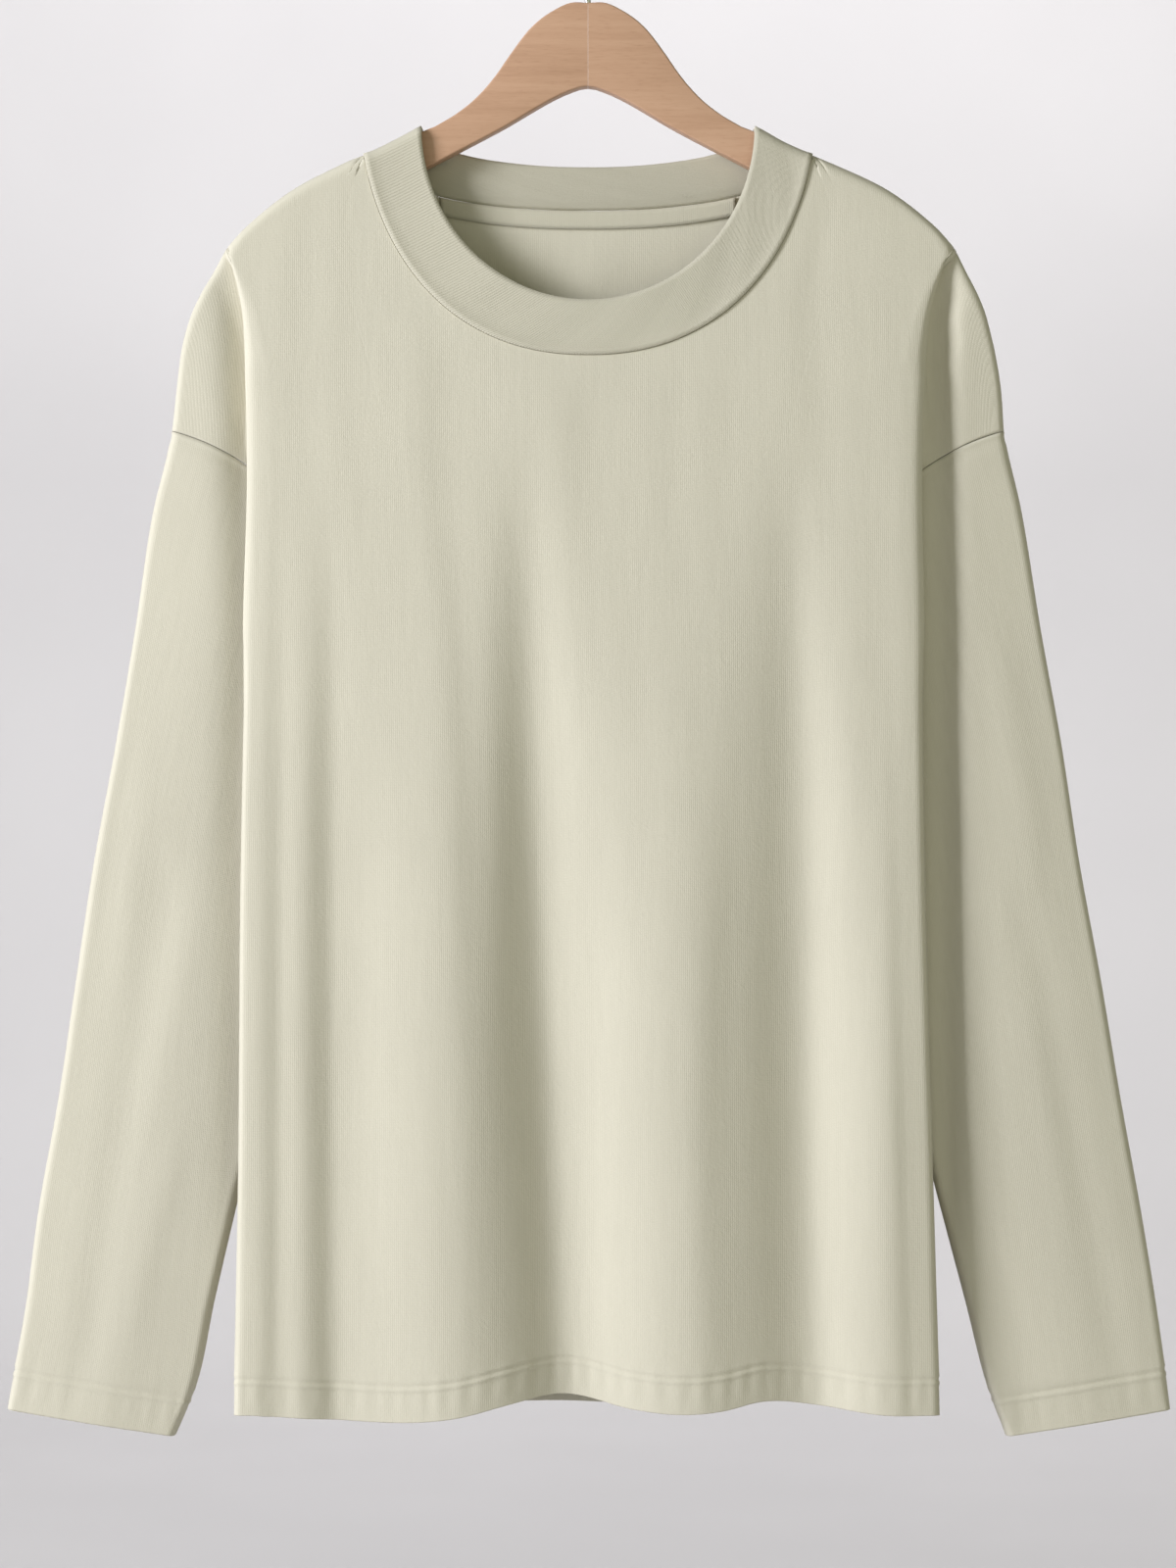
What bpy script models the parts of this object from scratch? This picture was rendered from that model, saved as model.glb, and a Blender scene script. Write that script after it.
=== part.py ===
"""Long-sleeve t-shirt hanging on a flat wooden hanger, in metres, +Z up.

The origin is the inside top of the hook, where a rail bears. The front faces -Y. Left and right are as
seen from the front, so left is -X, the wearer's right. Heights are below the origin, so they are negative.
"""
import math

import bpy
import numpy as np

# Cloth
WALL = 0.0014            # jersey wall
COLLAR_WALL = 0.0020     # double rib
TAPE_WALL = 0.0010
SEAM_GAP = 0.0003        # between two sewn pieces

# Body panels
EDGE_TOP = -0.199        # height where the fold at the panel's side leaves the shoulder seam
HEM = -0.8518            # front hem at its sides
BACK_HEM = -0.8530
SHOULDER_SLOPE = 0.51    # rise of the shoulder line for each metre towards the neck
SHOULDER_ROUND = 0.0085  # how far below the seam the cloth has turned down the hanger's side
ROUND_POWER = 2.5
FOLD_ROUND = 0.007       # half width of the fold at the panel's side

# Neck
NECK_HALF = 0.126        # half width at the neck seam
NECK_TOP = -0.148        # height of the neck seam on the shoulder
NECK_DROP = {"front": 0.1137, "back": 0.029}
NECK_LEAN = math.radians(14)   # angle of the neck curve where it leaves the shoulder
NECK_POWER = 0.9
NECK_SPREAD = 0.018      # how far the panel's columns fan outwards below the shoulder point
NECK_FAN_ROW = 0.07      # row where they are furthest out
NECK_FAN_POWER = 1.5     # how fast that fan dies out towards the middle
COLUMNS_EVEN = (0.04, 0.42)    # rows over which the columns spread out evenly
RIB_HALF = 0.0935        # half width at the collar's free edge
RIB_TOP = -0.1315
RIB_DROP = {"front": 0.0985, "back": 0.021}
TAPE_END = 0.50          # share of the back neck seam, from the shoulder, where the tape ends
TAPE_STEPS = 8
TAPE_DEPTH = 0.010

# Armhole and sleeve
ARM_TOP = (0.2335, -0.303)     # armhole seam at the sleeve's outer edge: reach, height
ARM_BEND = (0.150, -0.325)     # control point of the seam's curve
UNDERARM = (0.116, -0.440)
UNDERARM_ROW = -0.445          # height of the side fold level with the underarm
SLEEVE_THICK = 0.0105          # half thickness of the flattened armhole
SLEEVE_FULL = 0.0120           # half thickness further down
SLEEVE_ROUND = 0.006           # distance from a sleeve's pressed edge over which the cloth turns
SLEEVE_TAPER = 0.055           # distance from that edge where the sleeve has its full thickness
SLEEVE_EDGE = 0.80             # share of the thickness that the turn at the edge takes
SLEEVE_THIN = 0.0020           # least half thickness away from the edges
SLEEVE_FILL = (0.05, 0.50)     # shares of its length over which it gains its full thickness
ARM_CURVE = (0.0, 0.34)        # shares of its length over which the armhole's curve dies out
CAP_FILL = (0.0, 0.5)          # shares of the shoulder's end over which it thins to a pressed edge
SEAM_LAP = 0.0055              # panel cloth that runs on past the armhole seam before it folds back
POCKET_DEPTH = 0.0165          # how far in front of the middle that folded cloth lies
POCKET_START = 0.25            # share of the armhole where the pocket is fully formed
POCKET_FORMS = (0.4, 1.0)      # shares of the stretch above it over which it takes that form
LAP_START = 0.4                # share of its full length that the folded-back cloth has there
LAP_FULL = 0.65                # share of the armhole where it has its full length
LAP_LIFT = 0.0045              # how far the folded-back cloth stands in front of the seam there
LAP_SETTLES = (0.15, 0.50)     # shares of the armhole over which it moves to the pocket's depth
SIDE_BLEND = (0.86, 1.10)      # shares of the armhole's height over which it gives way to the side seam
FOLD_OVER = 0.001              # how far the fold's control points stand outside it
FOLD_BACK = 0.8                # how far behind the face they lie, in half widths of the fold
GUSSET_HALFWAY = (0.45, 0.60)  # control point between side fold and side seam: share across, share in depth
GUSSET_BEHIND = (0.002, 0.001) # how far two of those points lie behind that line and behind the pocket
GUSSET_BEND = 0.008            # where the cloth bends in front of the side seam
GUSSET_STEPS = (0.0110, 0.0040)   # depths of the last two control points before the side seam
CUFF_OUTER = -0.8518
CUFF_INNER = -0.8670

# Hanger
WOOD_THICK = 0.011
WOOD_ROUND = 0.0030
WOOD_CLEAR = 0.0022            # cloth's middle surface above the wood
WIRE_RADIUS = 0.00175
HOOK_INSIDE = 0.019            # inside radius of the hook

# Outline seen from the front: height, reach at the left and at the right.
OUTLINE = (
    (-0.149, 0.130, 0.129),
    (-0.165, 0.162, 0.164),
    (-0.182, 0.185, 0.188),
    (-0.198, 0.201, 0.204),
    (-0.215, 0.211, 0.213),
    (-0.231, 0.220, 0.221),
    (-0.248, 0.226, 0.226),
    (-0.281, 0.231, 0.232),
    (-0.303, 0.2335, 0.2335),
    (-0.347, 0.244, 0.243),
    (-0.413, 0.254, 0.254),
    (-0.479, 0.265, 0.266),
    (-0.545, 0.277, 0.276),
    (-0.611, 0.287, 0.288),
    (-0.677, 0.297, 0.299),
    (-0.743, 0.309, 0.311),
    (-0.792, 0.3155, 0.319),
    (-0.852, 0.3265, 0.3275),
)

# Inner edge of the hanging sleeve: height, reach at the left and at the right.
SLEEVE_INNER = (
    (-0.440, 0.116, 0.116),
    (-0.490, 0.134, 0.134),
    (-0.556, 0.153, 0.151),
    (-0.640, 0.174, 0.173),
    (-0.728, 0.196, 0.196),
    (-0.792, 0.211, 0.213),
    (-0.842, 0.222, 0.226),
    (-0.867, 0.232, 0.235),
)

# Side fold of the body panels: height, reach at the left and at the right.
SIDE_FOLD = (
    (-0.199, 0.202, 0.203),
    (-0.236, 0.193, 0.191),
    (-0.260, 0.191, 0.188),
    (-0.323, 0.189, 0.185),
    (-0.402, 0.191, 0.186),
    (-0.556, 0.194, 0.188),
    (-0.721, 0.195, 0.1925),
    (-0.852, 0.197, 0.196),
)

# Side seam, tucked in between front and back: height, reach.
SIDE_SEAM = (
    (-0.445, 0.1135),
    (-0.556, 0.118),
    (-0.721, 0.134),
    (-0.852, 0.146),
)

# Distance of each panel from the middle plane: height, front, back.
BODY_DEPTH = (
    (-0.130, 0.0095, 0.0095),
    (-0.182, 0.0098, 0.0098),
    (-0.215, 0.0125, 0.0120),
    (-0.236, 0.0150, 0.0145),
    (-0.260, 0.0190, 0.0185),
    (-0.323, 0.0228, 0.0220),
    (-0.402, 0.0250, 0.0235),
    (-0.556, 0.0280, 0.0260),
    (-0.721, 0.0300, 0.0280),
    (-0.852, 0.0310, 0.0290),
)

# Front hem: place across, height.
FRONT_HEM = (
    (-0.200, -0.8518),
    (-0.067, -0.8518),
    (-0.047, -0.8470),
    (-0.015, -0.8420),
    (0.025, -0.8490),
    (0.052, -0.8510),
    (0.077, -0.8490),
    (0.095, -0.8452),
    (0.130, -0.8480),
    (0.165, -0.8515),
    (0.200, -0.8518),
)

# Hanging folds: place across at the start and at the end, heights of both, half width to the left and to
# the right, and depth. A positive depth is a trough and a negative one a ridge.
FOLD_COLUMNS = ("start", "end", "top", "bottom", "left", "right", "depth")
FRONT_FOLDS = (
    (-0.037, -0.011, -0.290, -0.880, 0.025, 0.034, 0.0145),
    (0.113, 0.125, -0.285, -0.880, 0.031, 0.023, 0.0110),
    (-0.143, -0.139, -0.320, -0.880, 0.013, 0.028, 0.0052),
    (-0.082, -0.071, -0.340, -0.880, 0.030, 0.016, -0.0025),
    (0.050, 0.058, -0.330, -0.880, 0.030, 0.020, -0.0022),
    (0.164, 0.167, -0.420, -0.880, 0.018, 0.016, -0.0016),
    (-0.176, -0.172, -0.270, -0.880, 0.009, 0.012, 0.0014),
)
BACK_FOLDS = (
    (-0.072, -0.092, -0.280, -0.880, 0.034, 0.026, 0.0110),
    (0.056, 0.045, -0.330, -0.880, 0.026, 0.036, 0.0125),
    (-0.012, -0.020, -0.380, -0.880, 0.028, 0.024, -0.0030),
    (0.118, 0.126, -0.430, -0.880, 0.022, 0.020, -0.0030),
    (-0.140, -0.146, -0.520, -0.880, 0.020, 0.018, -0.0025),
    (0.152, 0.149, -0.360, -0.840, 0.016, 0.014, 0.0040),
)
FOLD_NARROW = 0.55       # share of its full width that a fold has where it starts
FOLD_WIDE_AT = 0.60      # share of its length where it is at full width
FOLD_FULL_AT = 0.70      # share of its length where it is at full depth
FOLD_RISE = 1.5

# Groove beside the side fold, over the end of the shoulder and down the sleeve: height, reach at the left and
# at the right, depth at the left and at the right. At the left it lies under the fold, which hides its inner
# slope.
SIDE_GROOVE = (
    (-0.199, 0.2020, 0.2050, 0.0000, 0.0000),
    (-0.212, 0.1985, 0.2010, 0.0026, 0.0042),
    (-0.236, 0.1935, 0.1985, 0.0048, 0.0060),
    (-0.303, 0.1900, 0.1995, 0.0048, 0.0056),
    (-0.440, 0.1905, 0.2020, 0.0034, 0.0054),
    (-0.640, 0.1925, 0.2025, 0.0030, 0.0050),
    (-0.740, 0.1940, 0.2030, 0.0018, 0.0030),
    (-0.800, 0.1950, 0.2030, 0.0000, 0.0000),
)
GROOVE_DEPTHS = {"left": 3, "right": 4}
GROOVE_INNER = {"left": 0.0500, "right": 0.0080}   # half width towards the side fold
GROOVE_OUTER = {"left": 0.0125, "right": 0.0062}
FOLD_STEP = (-0.004, 0.0015)   # distance from the side fold where its cloth starts to fall and where it has
FOLDS_STOP = 0.024       # distance inside the side fold where the hanging folds start to die out

# Long folds of a sleeve: share of its width at both ends, shares of its length, half width and depth.
SLEEVE_FOLD_COLUMNS = ("start", "end", "top", "bottom", "width", "depth")
SLEEVE_FOLDS = {
    "left": ((0.34, 0.38, 0.35, 1.05, 0.10, 0.0010),),
    "right": ((0.30, 0.28, 0.40, 1.05, 0.10, 0.0008),),
}
SLEEVE_FOLD_GROWS = (0.0, 0.12)   # shares of a fold's length over which it grows and dies out
SLEEVE_FOLD_ENDS = (0.75, 1.0)

# Wooden hanger: reach, height of the upper edge near the hook, where it shows above the collar.
WOOD_HEAD = (
    (0.000, -0.0620),
    (0.010, -0.0620),
    (0.018, -0.0655),
    (0.0335, -0.0775),
    (0.043, -0.0900),
    (0.052, -0.1030),
    (0.063, -0.1155),
    (0.0735, -0.1240),
    (0.086, -0.1315),
)
# Lower edge: reach, height.
WOOD_FOOT = (
    (0.000, -0.1080),
    (0.010, -0.1115),
    (0.050, -0.1335),
    (0.090, -0.1545),
    (0.130, -0.1760),
    (0.158, -0.1950),
    (0.176, -0.2110),
)
# Rounded tip below the end of the upper edge: reach, drop.
WOOD_END = (
    (0.1845, 0.0035),
    (0.1860, 0.0090),
    (0.1850, 0.0170),
    (0.1815, 0.0240),
)
WOOD_HEAD_STEPS = 14
WOOD_ARM = (0.100, 0.180, 8)     # upper edge under the cloth: first and last reach, number of places
WOOD_FOOT_STEPS = 12

# Hook: straight part of its shank above the wood, then its bend as reach and height above the arc's foot.
SHANK_STRAIGHT = 0.010
SHANK_BEND = ((0.0030, -0.0065), (0.0095, 0.0005))
HOOK_ARC = (-48.0, 190.0)        # degrees round the rail
HOOK_STEPS = 18

BODY_ROWS = (0.0, 0.0008, 0.003, 0.0075, 0.015, 0.028, 0.046, 0.070, 0.095, 0.120, 0.150, 0.180, 0.212,
             0.245, 0.280, 0.315, 0.350, 0.385, 0.425, 0.470, 0.520, 0.575, 0.635, 0.700, 0.770, 0.840,
             0.910, 0.965, 1.0)
POCKET_COLUMNS = (0.0, 0.12, 0.24, 0.36, 0.50, 0.64, 0.78, 0.90, 0.975, 1.0)
SHOULDER_COLUMNS = 5
NECK_TURNS = (0.00022, 0.0015, 0.0040)   # distances below the shoulder where the neck seam has a column
NECK_COLUMNS = {"front": 8, "back": 6}   # even columns after those
SLEEVE_ROWS = 18
SLEEVE_COLUMNS = 10
SLEEVE_ROW_POWER = 1.15                  # above 1, rows stand closer together near the armhole
COLLAR_ROWS = 3
HALVINGS = 40                            # steps of a search by halves

SIDES = {"left": -1.0, "right": 1.0}
FACING = {"front": -1.0, "back": 1.0}


def ease(low, high, value):
    """Rise smoothly from 0 at low to 1 at high."""
    share = np.clip((value - low) / (high - low), 0.0, 1.0)
    return share * share * (3.0 - 2.0 * share)


def blend(first, second, share):
    return first + (second - first) * share


def through(rows, column, value):
    """Smooth curve through a table's column, read at a value of its first column."""
    ordered = sorted(rows)
    keys = np.array([row[0] for row in ordered])
    data = np.array([row[column] for row in ordered])
    slopes = np.gradient(data, keys)
    value = float(np.clip(value, keys[0], keys[-1]))
    index = int(np.clip(np.searchsorted(keys, value) - 1, 0, len(keys) - 2))
    span = keys[index + 1] - keys[index]
    t = (value - keys[index]) / span
    return float(
        (2 * t**3 - 3 * t**2 + 1) * data[index]
        + (t**3 - 2 * t**2 + t) * span * slopes[index]
        + (3 * t**2 - 2 * t**3) * data[index + 1]
        + (t**3 - t**2) * span * slopes[index + 1]
    )


def side_column(side):
    return 1 if side == "left" else 2


def shoulder_height(reach, side):
    """Height of the shoulder line at a reach from the middle."""
    if reach <= NECK_HALF:
        return NECK_TOP + (NECK_HALF - reach) * SHOULDER_SLOPE
    low, high = EDGE_TOP - 0.02, NECK_TOP
    for _ in range(HALVINGS):
        middle = 0.5 * (low + high)
        if through(OUTLINE, side_column(side), middle) > reach:
            low = middle
        else:
            high = middle
    line = 0.5 * (low + high)
    first = through(OUTLINE, side_column(side), OUTLINE[0][0])
    if reach < first:
        line = blend(NECK_TOP, OUTLINE[0][0], (reach - NECK_HALF) / (first - NECK_HALF))
    return line


def turn(distance, radius=SHOULDER_ROUND):
    """Share of the full depth that the cloth has reached at a distance from a folded edge."""
    share = np.clip(distance / radius, 0.0, 1.0)
    return (1.0 - (1.0 - share) ** ROUND_POWER) ** (1.0 / ROUND_POWER)


def pressed(distance):
    """Share of a sleeve's full thickness at a distance from its pressed edge."""
    taper = math.sin(0.5 * math.pi * min(max(distance, 0.0) / SLEEVE_TAPER, 1.0))
    return blend(taper, turn(distance, SLEEVE_ROUND), SLEEVE_EDGE)


def fold_depth(folds, x, z):
    """Sum of the hanging folds at a place on a panel."""
    total = 0.0
    for row in folds:
        fold = dict(zip(FOLD_COLUMNS, row))
        along = (fold["top"] - z) / (fold["top"] - fold["bottom"])
        middle = blend(fold["start"], fold["end"], np.clip(along, 0.0, 1.0))
        width = fold["left"] if x < middle else fold["right"]
        width *= blend(FOLD_NARROW, 1.0, ease(0.0, FOLD_WIDE_AT, along))
        across = math.exp(-((x - middle) / width) ** 2)
        grown = math.sin(0.5 * math.pi * np.clip(along / FOLD_FULL_AT, 0.0, 1.0)) ** FOLD_RISE
        total += fold["depth"] * across * grown
    return total


def body_depth(panel, side, x, z):
    """Distance of a body panel from the middle plane at a place seen from the front."""
    column = 1 if panel == "front" else 2
    reach = abs(x)
    full = through(BODY_DEPTH, column, z)
    edge = through(SIDE_FOLD, side_column(side), z)
    folds = FRONT_FOLDS if panel == "front" else BACK_FOLDS
    inner = 1.0 - ease(edge - FOLDS_STOP, edge - 2.0 * FOLD_ROUND, reach)
    depth = (full - fold_depth(folds, x, z) * inner) * turn(shoulder_height(reach, side) - z)
    return max(depth, 0.5 * SEAM_GAP)


def armhole(share):
    """Armhole seam as reach and height, with its direction towards the body."""
    weights = ((1 - share) ** 2, 2 * share * (1 - share), share ** 2)
    points = (ARM_TOP, ARM_BEND, UNDERARM)
    reach = sum(w * p[0] for w, p in zip(weights, points))
    height = sum(w * p[1] for w, p in zip(weights, points))
    along_x = blend(ARM_BEND[0] - ARM_TOP[0], UNDERARM[0] - ARM_BEND[0], share)
    along_z = blend(ARM_BEND[1] - ARM_TOP[1], UNDERARM[1] - ARM_BEND[1], share)
    length = math.hypot(along_x, along_z)
    inward = (along_z / length, -along_x / length)
    apart = 0.5 * SEAM_GAP + 0.5 * WALL * ease(0.75, 1.0, share)
    return reach, height, inward, apart


def from_edges(reach, height):
    """Distance of a place on the armhole from the nearer of its two ends."""
    return min(math.hypot(reach - x, height - z) for x, z in (ARM_TOP, UNDERARM))


def groove(side, reach, z):
    """How much further back the cloth lies beside the side fold."""
    beside = reach - through(SIDE_GROOVE, side_column(side), z)
    width = GROOVE_INNER[side] if beside < 0.0 else GROOVE_OUTER[side]
    return through(SIDE_GROOVE, GROOVE_DEPTHS[side], z) * math.exp(-((beside / width) ** 2))


def armhole_depth(side, share):
    reach, height = armhole(share)[:2]
    flat = SLEEVE_THICK * pressed(from_edges(reach, height))
    return max(flat - groove(side, reach, height), min(flat, SLEEVE_THIN))


def panel_seam(side, share):
    """Armhole edge of a body panel, as reach, depth and height."""
    reach, height, inward, apart = armhole(share)
    return np.array([reach + inward[0] * apart, armhole_depth(side, share), height + inward[1] * apart])


def spline(controls, share):
    """Clamped cubic B-spline through a row of control points."""
    controls = np.array(controls)
    count = len(controls)
    inner = count - 3
    knots = np.concatenate([np.zeros(3), np.linspace(0.0, 1.0, inner + 1), np.ones(3)])
    share = min(max(share, 0.0), 1.0 - 1e-9)
    span = int(np.searchsorted(knots, share, side="right") - 1)
    points = [controls[span - 3 + k].copy() for k in range(4)]
    for level in range(1, 4):
        for k in range(3, level - 1, -1):
            low = knots[span - 3 + k]
            high = knots[span + 1 + k - level]
            part = (share - low) / (high - low)
            points[k] = blend(points[k - 1], points[k], part)
    return points[3]


def fold_line(panel, side, row):
    """Reach, depth and height of the side fold in a row of the panel."""
    hem = HEM if panel == "front" else BACK_HEM
    z = blend(EDGE_TOP, hem, row)
    reach = through(SIDE_FOLD, side_column(side), z)
    return reach, through(BODY_DEPTH, 1 if panel == "front" else 2, z), z


def pocket_controls(panel, side, row):
    """Control points from the panel's face, round its side fold, to the armhole or side seam."""
    reach, depth, z = fold_line(panel, side, row)
    share = (EDGE_TOP - z) / (EDGE_TOP - UNDERARM_ROW)
    arm_share = min(share, 1.0)
    inward = armhole(arm_share)[2]
    seam = panel_seam(side, arm_share)
    lap = SEAM_LAP * blend(LAP_START, 1.0, ease(POCKET_START, LAP_FULL, share))
    step = lap * np.array([inward[0], 0.0, inward[1]])
    front = min(blend(seam[1] + LAP_LIFT, POCKET_DEPTH, ease(*LAP_SETTLES, share)), depth - FOLD_ROUND)
    tip = seam + 2.0 * step
    tip_front = np.array([tip[0], front, tip[2]])
    lower = np.array([reach + FOLD_OVER, depth - FOLD_ROUND * FOLD_BACK, z])
    arm = [lower, blend(lower, tip_front, 0.5), tip_front, tip, seam + step, seam]
    side_x = through(SIDE_SEAM, 1, z)
    half = 0.5 * SEAM_GAP
    middle_x = blend(reach, side_x, GUSSET_HALFWAY[0])
    middle_y = blend(depth, POCKET_DEPTH, GUSSET_HALFWAY[1]) - GUSSET_BEHIND[0]
    beside = [
        lower,
        np.array([middle_x, middle_y, z]),
        np.array([side_x + GUSSET_BEND, POCKET_DEPTH - GUSSET_BEHIND[1], z]),
        np.array([side_x, GUSSET_STEPS[0], z]),
        np.array([side_x, GUSSET_STEPS[1], z]),
        np.array([side_x, half, z]),
    ]
    share_beside = ease(*SIDE_BLEND, share)
    rest = [blend(a, b, share_beside) for a, b in zip(arm, beside)]
    leaving = rest[-2] - rest[-1]
    flat = math.hypot(leaving[0], leaving[2]) / np.linalg.norm(leaving)
    clear = half + 0.5 * WALL * flat
    for control in rest[-2:]:
        control[1] = max(control[1], clear)
    start = [np.array([reach - 2.0 * FOLD_ROUND, depth, z]), np.array([reach + FOLD_OVER, depth, z])]
    return start + rest


def pocket_point(panel, side, row, across):
    """Place on the folded side of a panel, as reach, depth and height."""
    start = POCKET_START * (EDGE_TOP - UNDERARM_ROW) / (EDGE_TOP - HEM)
    if row >= start:
        return spline(pocket_controls(panel, side, row), across)
    share = row / start
    formed = pocket_controls(panel, side, start)
    full = spline(formed, across)
    seam_height = blend(EDGE_TOP, ARM_TOP[1], across)
    top = np.array([through(OUTLINE, side_column(side), seam_height), 0.0, seam_height])
    seam = panel_seam(side, POCKET_START * share)
    point = blend(top, full, share)
    straight = blend(np.array([ARM_TOP[0], 0.0, ARM_TOP[1]]), formed[-1], share)
    point += (seam - straight) * across ** 3
    column = 1 if panel == "front" else 2
    below = row * (EDGE_TOP - HEM)
    beyond = point[0] - through(SIDE_FOLD, side_column(side), point[2])
    face = through(BODY_DEPTH, column, point[2]) * turn(below, blend(SHOULDER_ROUND, SLEEVE_ROUND, across))
    flat = SLEEVE_THICK * blend(turn(below), pressed(below), ease(*CAP_FILL, across))
    cap = max(flat - groove(side, point[0], point[2]), min(flat, SLEEVE_THIN))
    depth = blend(blend(face, cap, ease(*FOLD_STEP, beyond)), seam[1], across ** 3)
    shallower = fold_line(panel, side, row)[1] / fold_line(panel, side, start)[1]
    depth = blend(depth, full[1] * shallower, ease(*POCKET_FORMS, share))
    return np.array([point[0], max(depth, 0.5 * SEAM_GAP), point[2]])


def neck_line(panel, share):
    """Neck seam from the shoulder (0) to the middle (1), as reach and height."""
    angle = blend(NECK_LEAN, 0.5 * math.pi, share)
    reach = NECK_HALF * (max(math.cos(angle), 0.0) / math.cos(NECK_LEAN)) ** NECK_POWER
    start = math.sin(NECK_LEAN) ** NECK_POWER
    return reach, NECK_TOP - NECK_DROP[panel] * (math.sin(angle) ** NECK_POWER - start) / (1.0 - start)


def neck_shares(panel):
    """Shares of the neck seam that have a column, closer together where it turns over the shoulder."""
    shares = [0.0]
    for distance in NECK_TURNS:
        low, high = 0.0, 0.5
        for _ in range(HALVINGS):
            middle = 0.5 * (low + high)
            reach, height = neck_line(panel, middle)
            if shoulder_height(reach, "left") - height < distance:
                low = middle
            else:
                high = middle
        shares.append(high)
    even = NECK_COLUMNS[panel]
    return shares + [blend(shares[-1], 1.0, step / even) for step in range(1, even + 1)]


NECK_SHARES = {panel: neck_shares(panel) for panel in FACING}


def top_line(panel, side, column):
    """Panel's upper edge, column by column, from its side fold to the middle."""
    if column <= SHOULDER_COLUMNS:
        share = column / SHOULDER_COLUMNS
        start = through(OUTLINE, side_column(side), EDGE_TOP)
        reach = blend(start, NECK_HALF, share)
        height = EDGE_TOP if column == 0 else shoulder_height(reach, side)
        return reach, height
    return neck_line(panel, NECK_SHARES[panel][column - SHOULDER_COLUMNS])


def half_columns(panel):
    return SHOULDER_COLUMNS + len(NECK_SHARES[panel]) - 1


def hem_height(panel, x):
    if panel == "back":
        return BACK_HEM
    return through(FRONT_HEM, 1, x)


def face_point(panel, side, row, column):
    """Place on the panel's face, from its side fold (column 0) to the middle."""
    columns = half_columns(panel)
    edge = pocket_point(panel, side, row, 0.0)[0]
    first = top_line(panel, side, 0)[0]
    reach_top, z_top = top_line(panel, side, column)
    beside_edge = max(0.0, 1.0 - column / SHOULDER_COLUMNS)
    start = reach_top + (edge - first) * beside_edge
    off_shoulder = column / SHOULDER_COLUMNS
    if column > SHOULDER_COLUMNS:
        off_shoulder = ((columns - column) / (columns - SHOULDER_COLUMNS)) ** NECK_FAN_POWER
    fan = NECK_SPREAD * off_shoulder * (row / NECK_FAN_ROW) * math.exp(1.0 - row / NECK_FAN_ROW)
    reach = blend(start, edge * (1.0 - column / columns), ease(*COLUMNS_EVEN, row)) + fan
    x = SIDES[side] * reach
    z = blend(z_top, hem_height(panel, x), row)
    return np.array([x, FACING[panel] * body_depth(panel, side, x, z), z])


def panel_points(panel):
    """Grid of points over a whole body panel, row by row from the shoulder seam to the hem."""
    columns = half_columns(panel)
    grid = []
    for row in BODY_ROWS:
        line = {}
        for side, sign in SIDES.items():
            folded = []
            for across in reversed(POCKET_COLUMNS):
                point = pocket_point(panel, side, row, across)
                folded.append((sign * point[0], FACING[panel] * point[1], point[2]))
            line[side] = folded + [tuple(face_point(panel, side, row, c)) for c in range(1, columns)]
        middle = tuple(face_point(panel, "left", row, columns))
        grid.append(line["left"] + [middle] + line["right"][::-1])
    return np.array(grid)


def sleeve_point(side, along, turned):
    """Place on a sleeve: along runs from the armhole to the cuff, turned once round the tube."""
    facing = -1.0 if turned <= 1.0 else 1.0
    share = 0.5 * (1.0 - math.cos(math.pi * (turned if turned <= 1.0 else 2.0 - turned)))
    outer_z = blend(ARM_TOP[1], CUFF_OUTER, along)
    inner_z = blend(UNDERARM[1], CUFF_INNER, along)
    outer = np.array([through(OUTLINE, side_column(side), outer_z), outer_z])
    inner = np.array([through(SLEEVE_INNER, side_column(side), inner_z), inner_z])
    place = blend(outer, inner, share)
    seam_x, seam_z, inward, apart = armhole(share)
    seam = np.array([seam_x - inward[0] * apart, seam_z - inward[1] * apart])
    straight = blend(np.array(ARM_TOP), np.array(UNDERARM), share)
    beyond = ease(*ARM_CURVE, along)
    place += (seam - straight) * (1.0 - beyond)
    across = np.linalg.norm(outer - inner) * min(share, 1.0 - share)
    edge = blend(from_edges(*seam), across, beyond)
    flat = blend(SLEEVE_THICK, SLEEVE_FULL, ease(*SLEEVE_FILL, along)) * pressed(edge)
    depth = max(flat - groove(side, place[0], place[1]), min(flat, SLEEVE_THIN))
    for row in SLEEVE_FOLDS[side]:
        fold = dict(zip(SLEEVE_FOLD_COLUMNS, row))
        part = (along - fold["top"]) / (fold["bottom"] - fold["top"])
        middle = blend(fold["start"], fold["end"], np.clip(part, 0.0, 1.0))
        across = math.exp(-((share - middle) / fold["width"]) ** 2)
        grown = ease(*SLEEVE_FOLD_GROWS, part) * (1.0 - ease(*SLEEVE_FOLD_ENDS, part))
        depth -= fold["depth"] * across * grown
    return np.array([SIDES[side] * place[0], facing * depth, place[1]])


def sleeve_points(side):
    grid = []
    turns = [step / SLEEVE_COLUMNS for step in range(2 * SLEEVE_COLUMNS)]
    for row in range(SLEEVE_ROWS + 1):
        along = (row / SLEEVE_ROWS) ** SLEEVE_ROW_POWER
        grid.append([sleeve_point(side, along, turned) for turned in turns])
    return np.array(grid)


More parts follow.
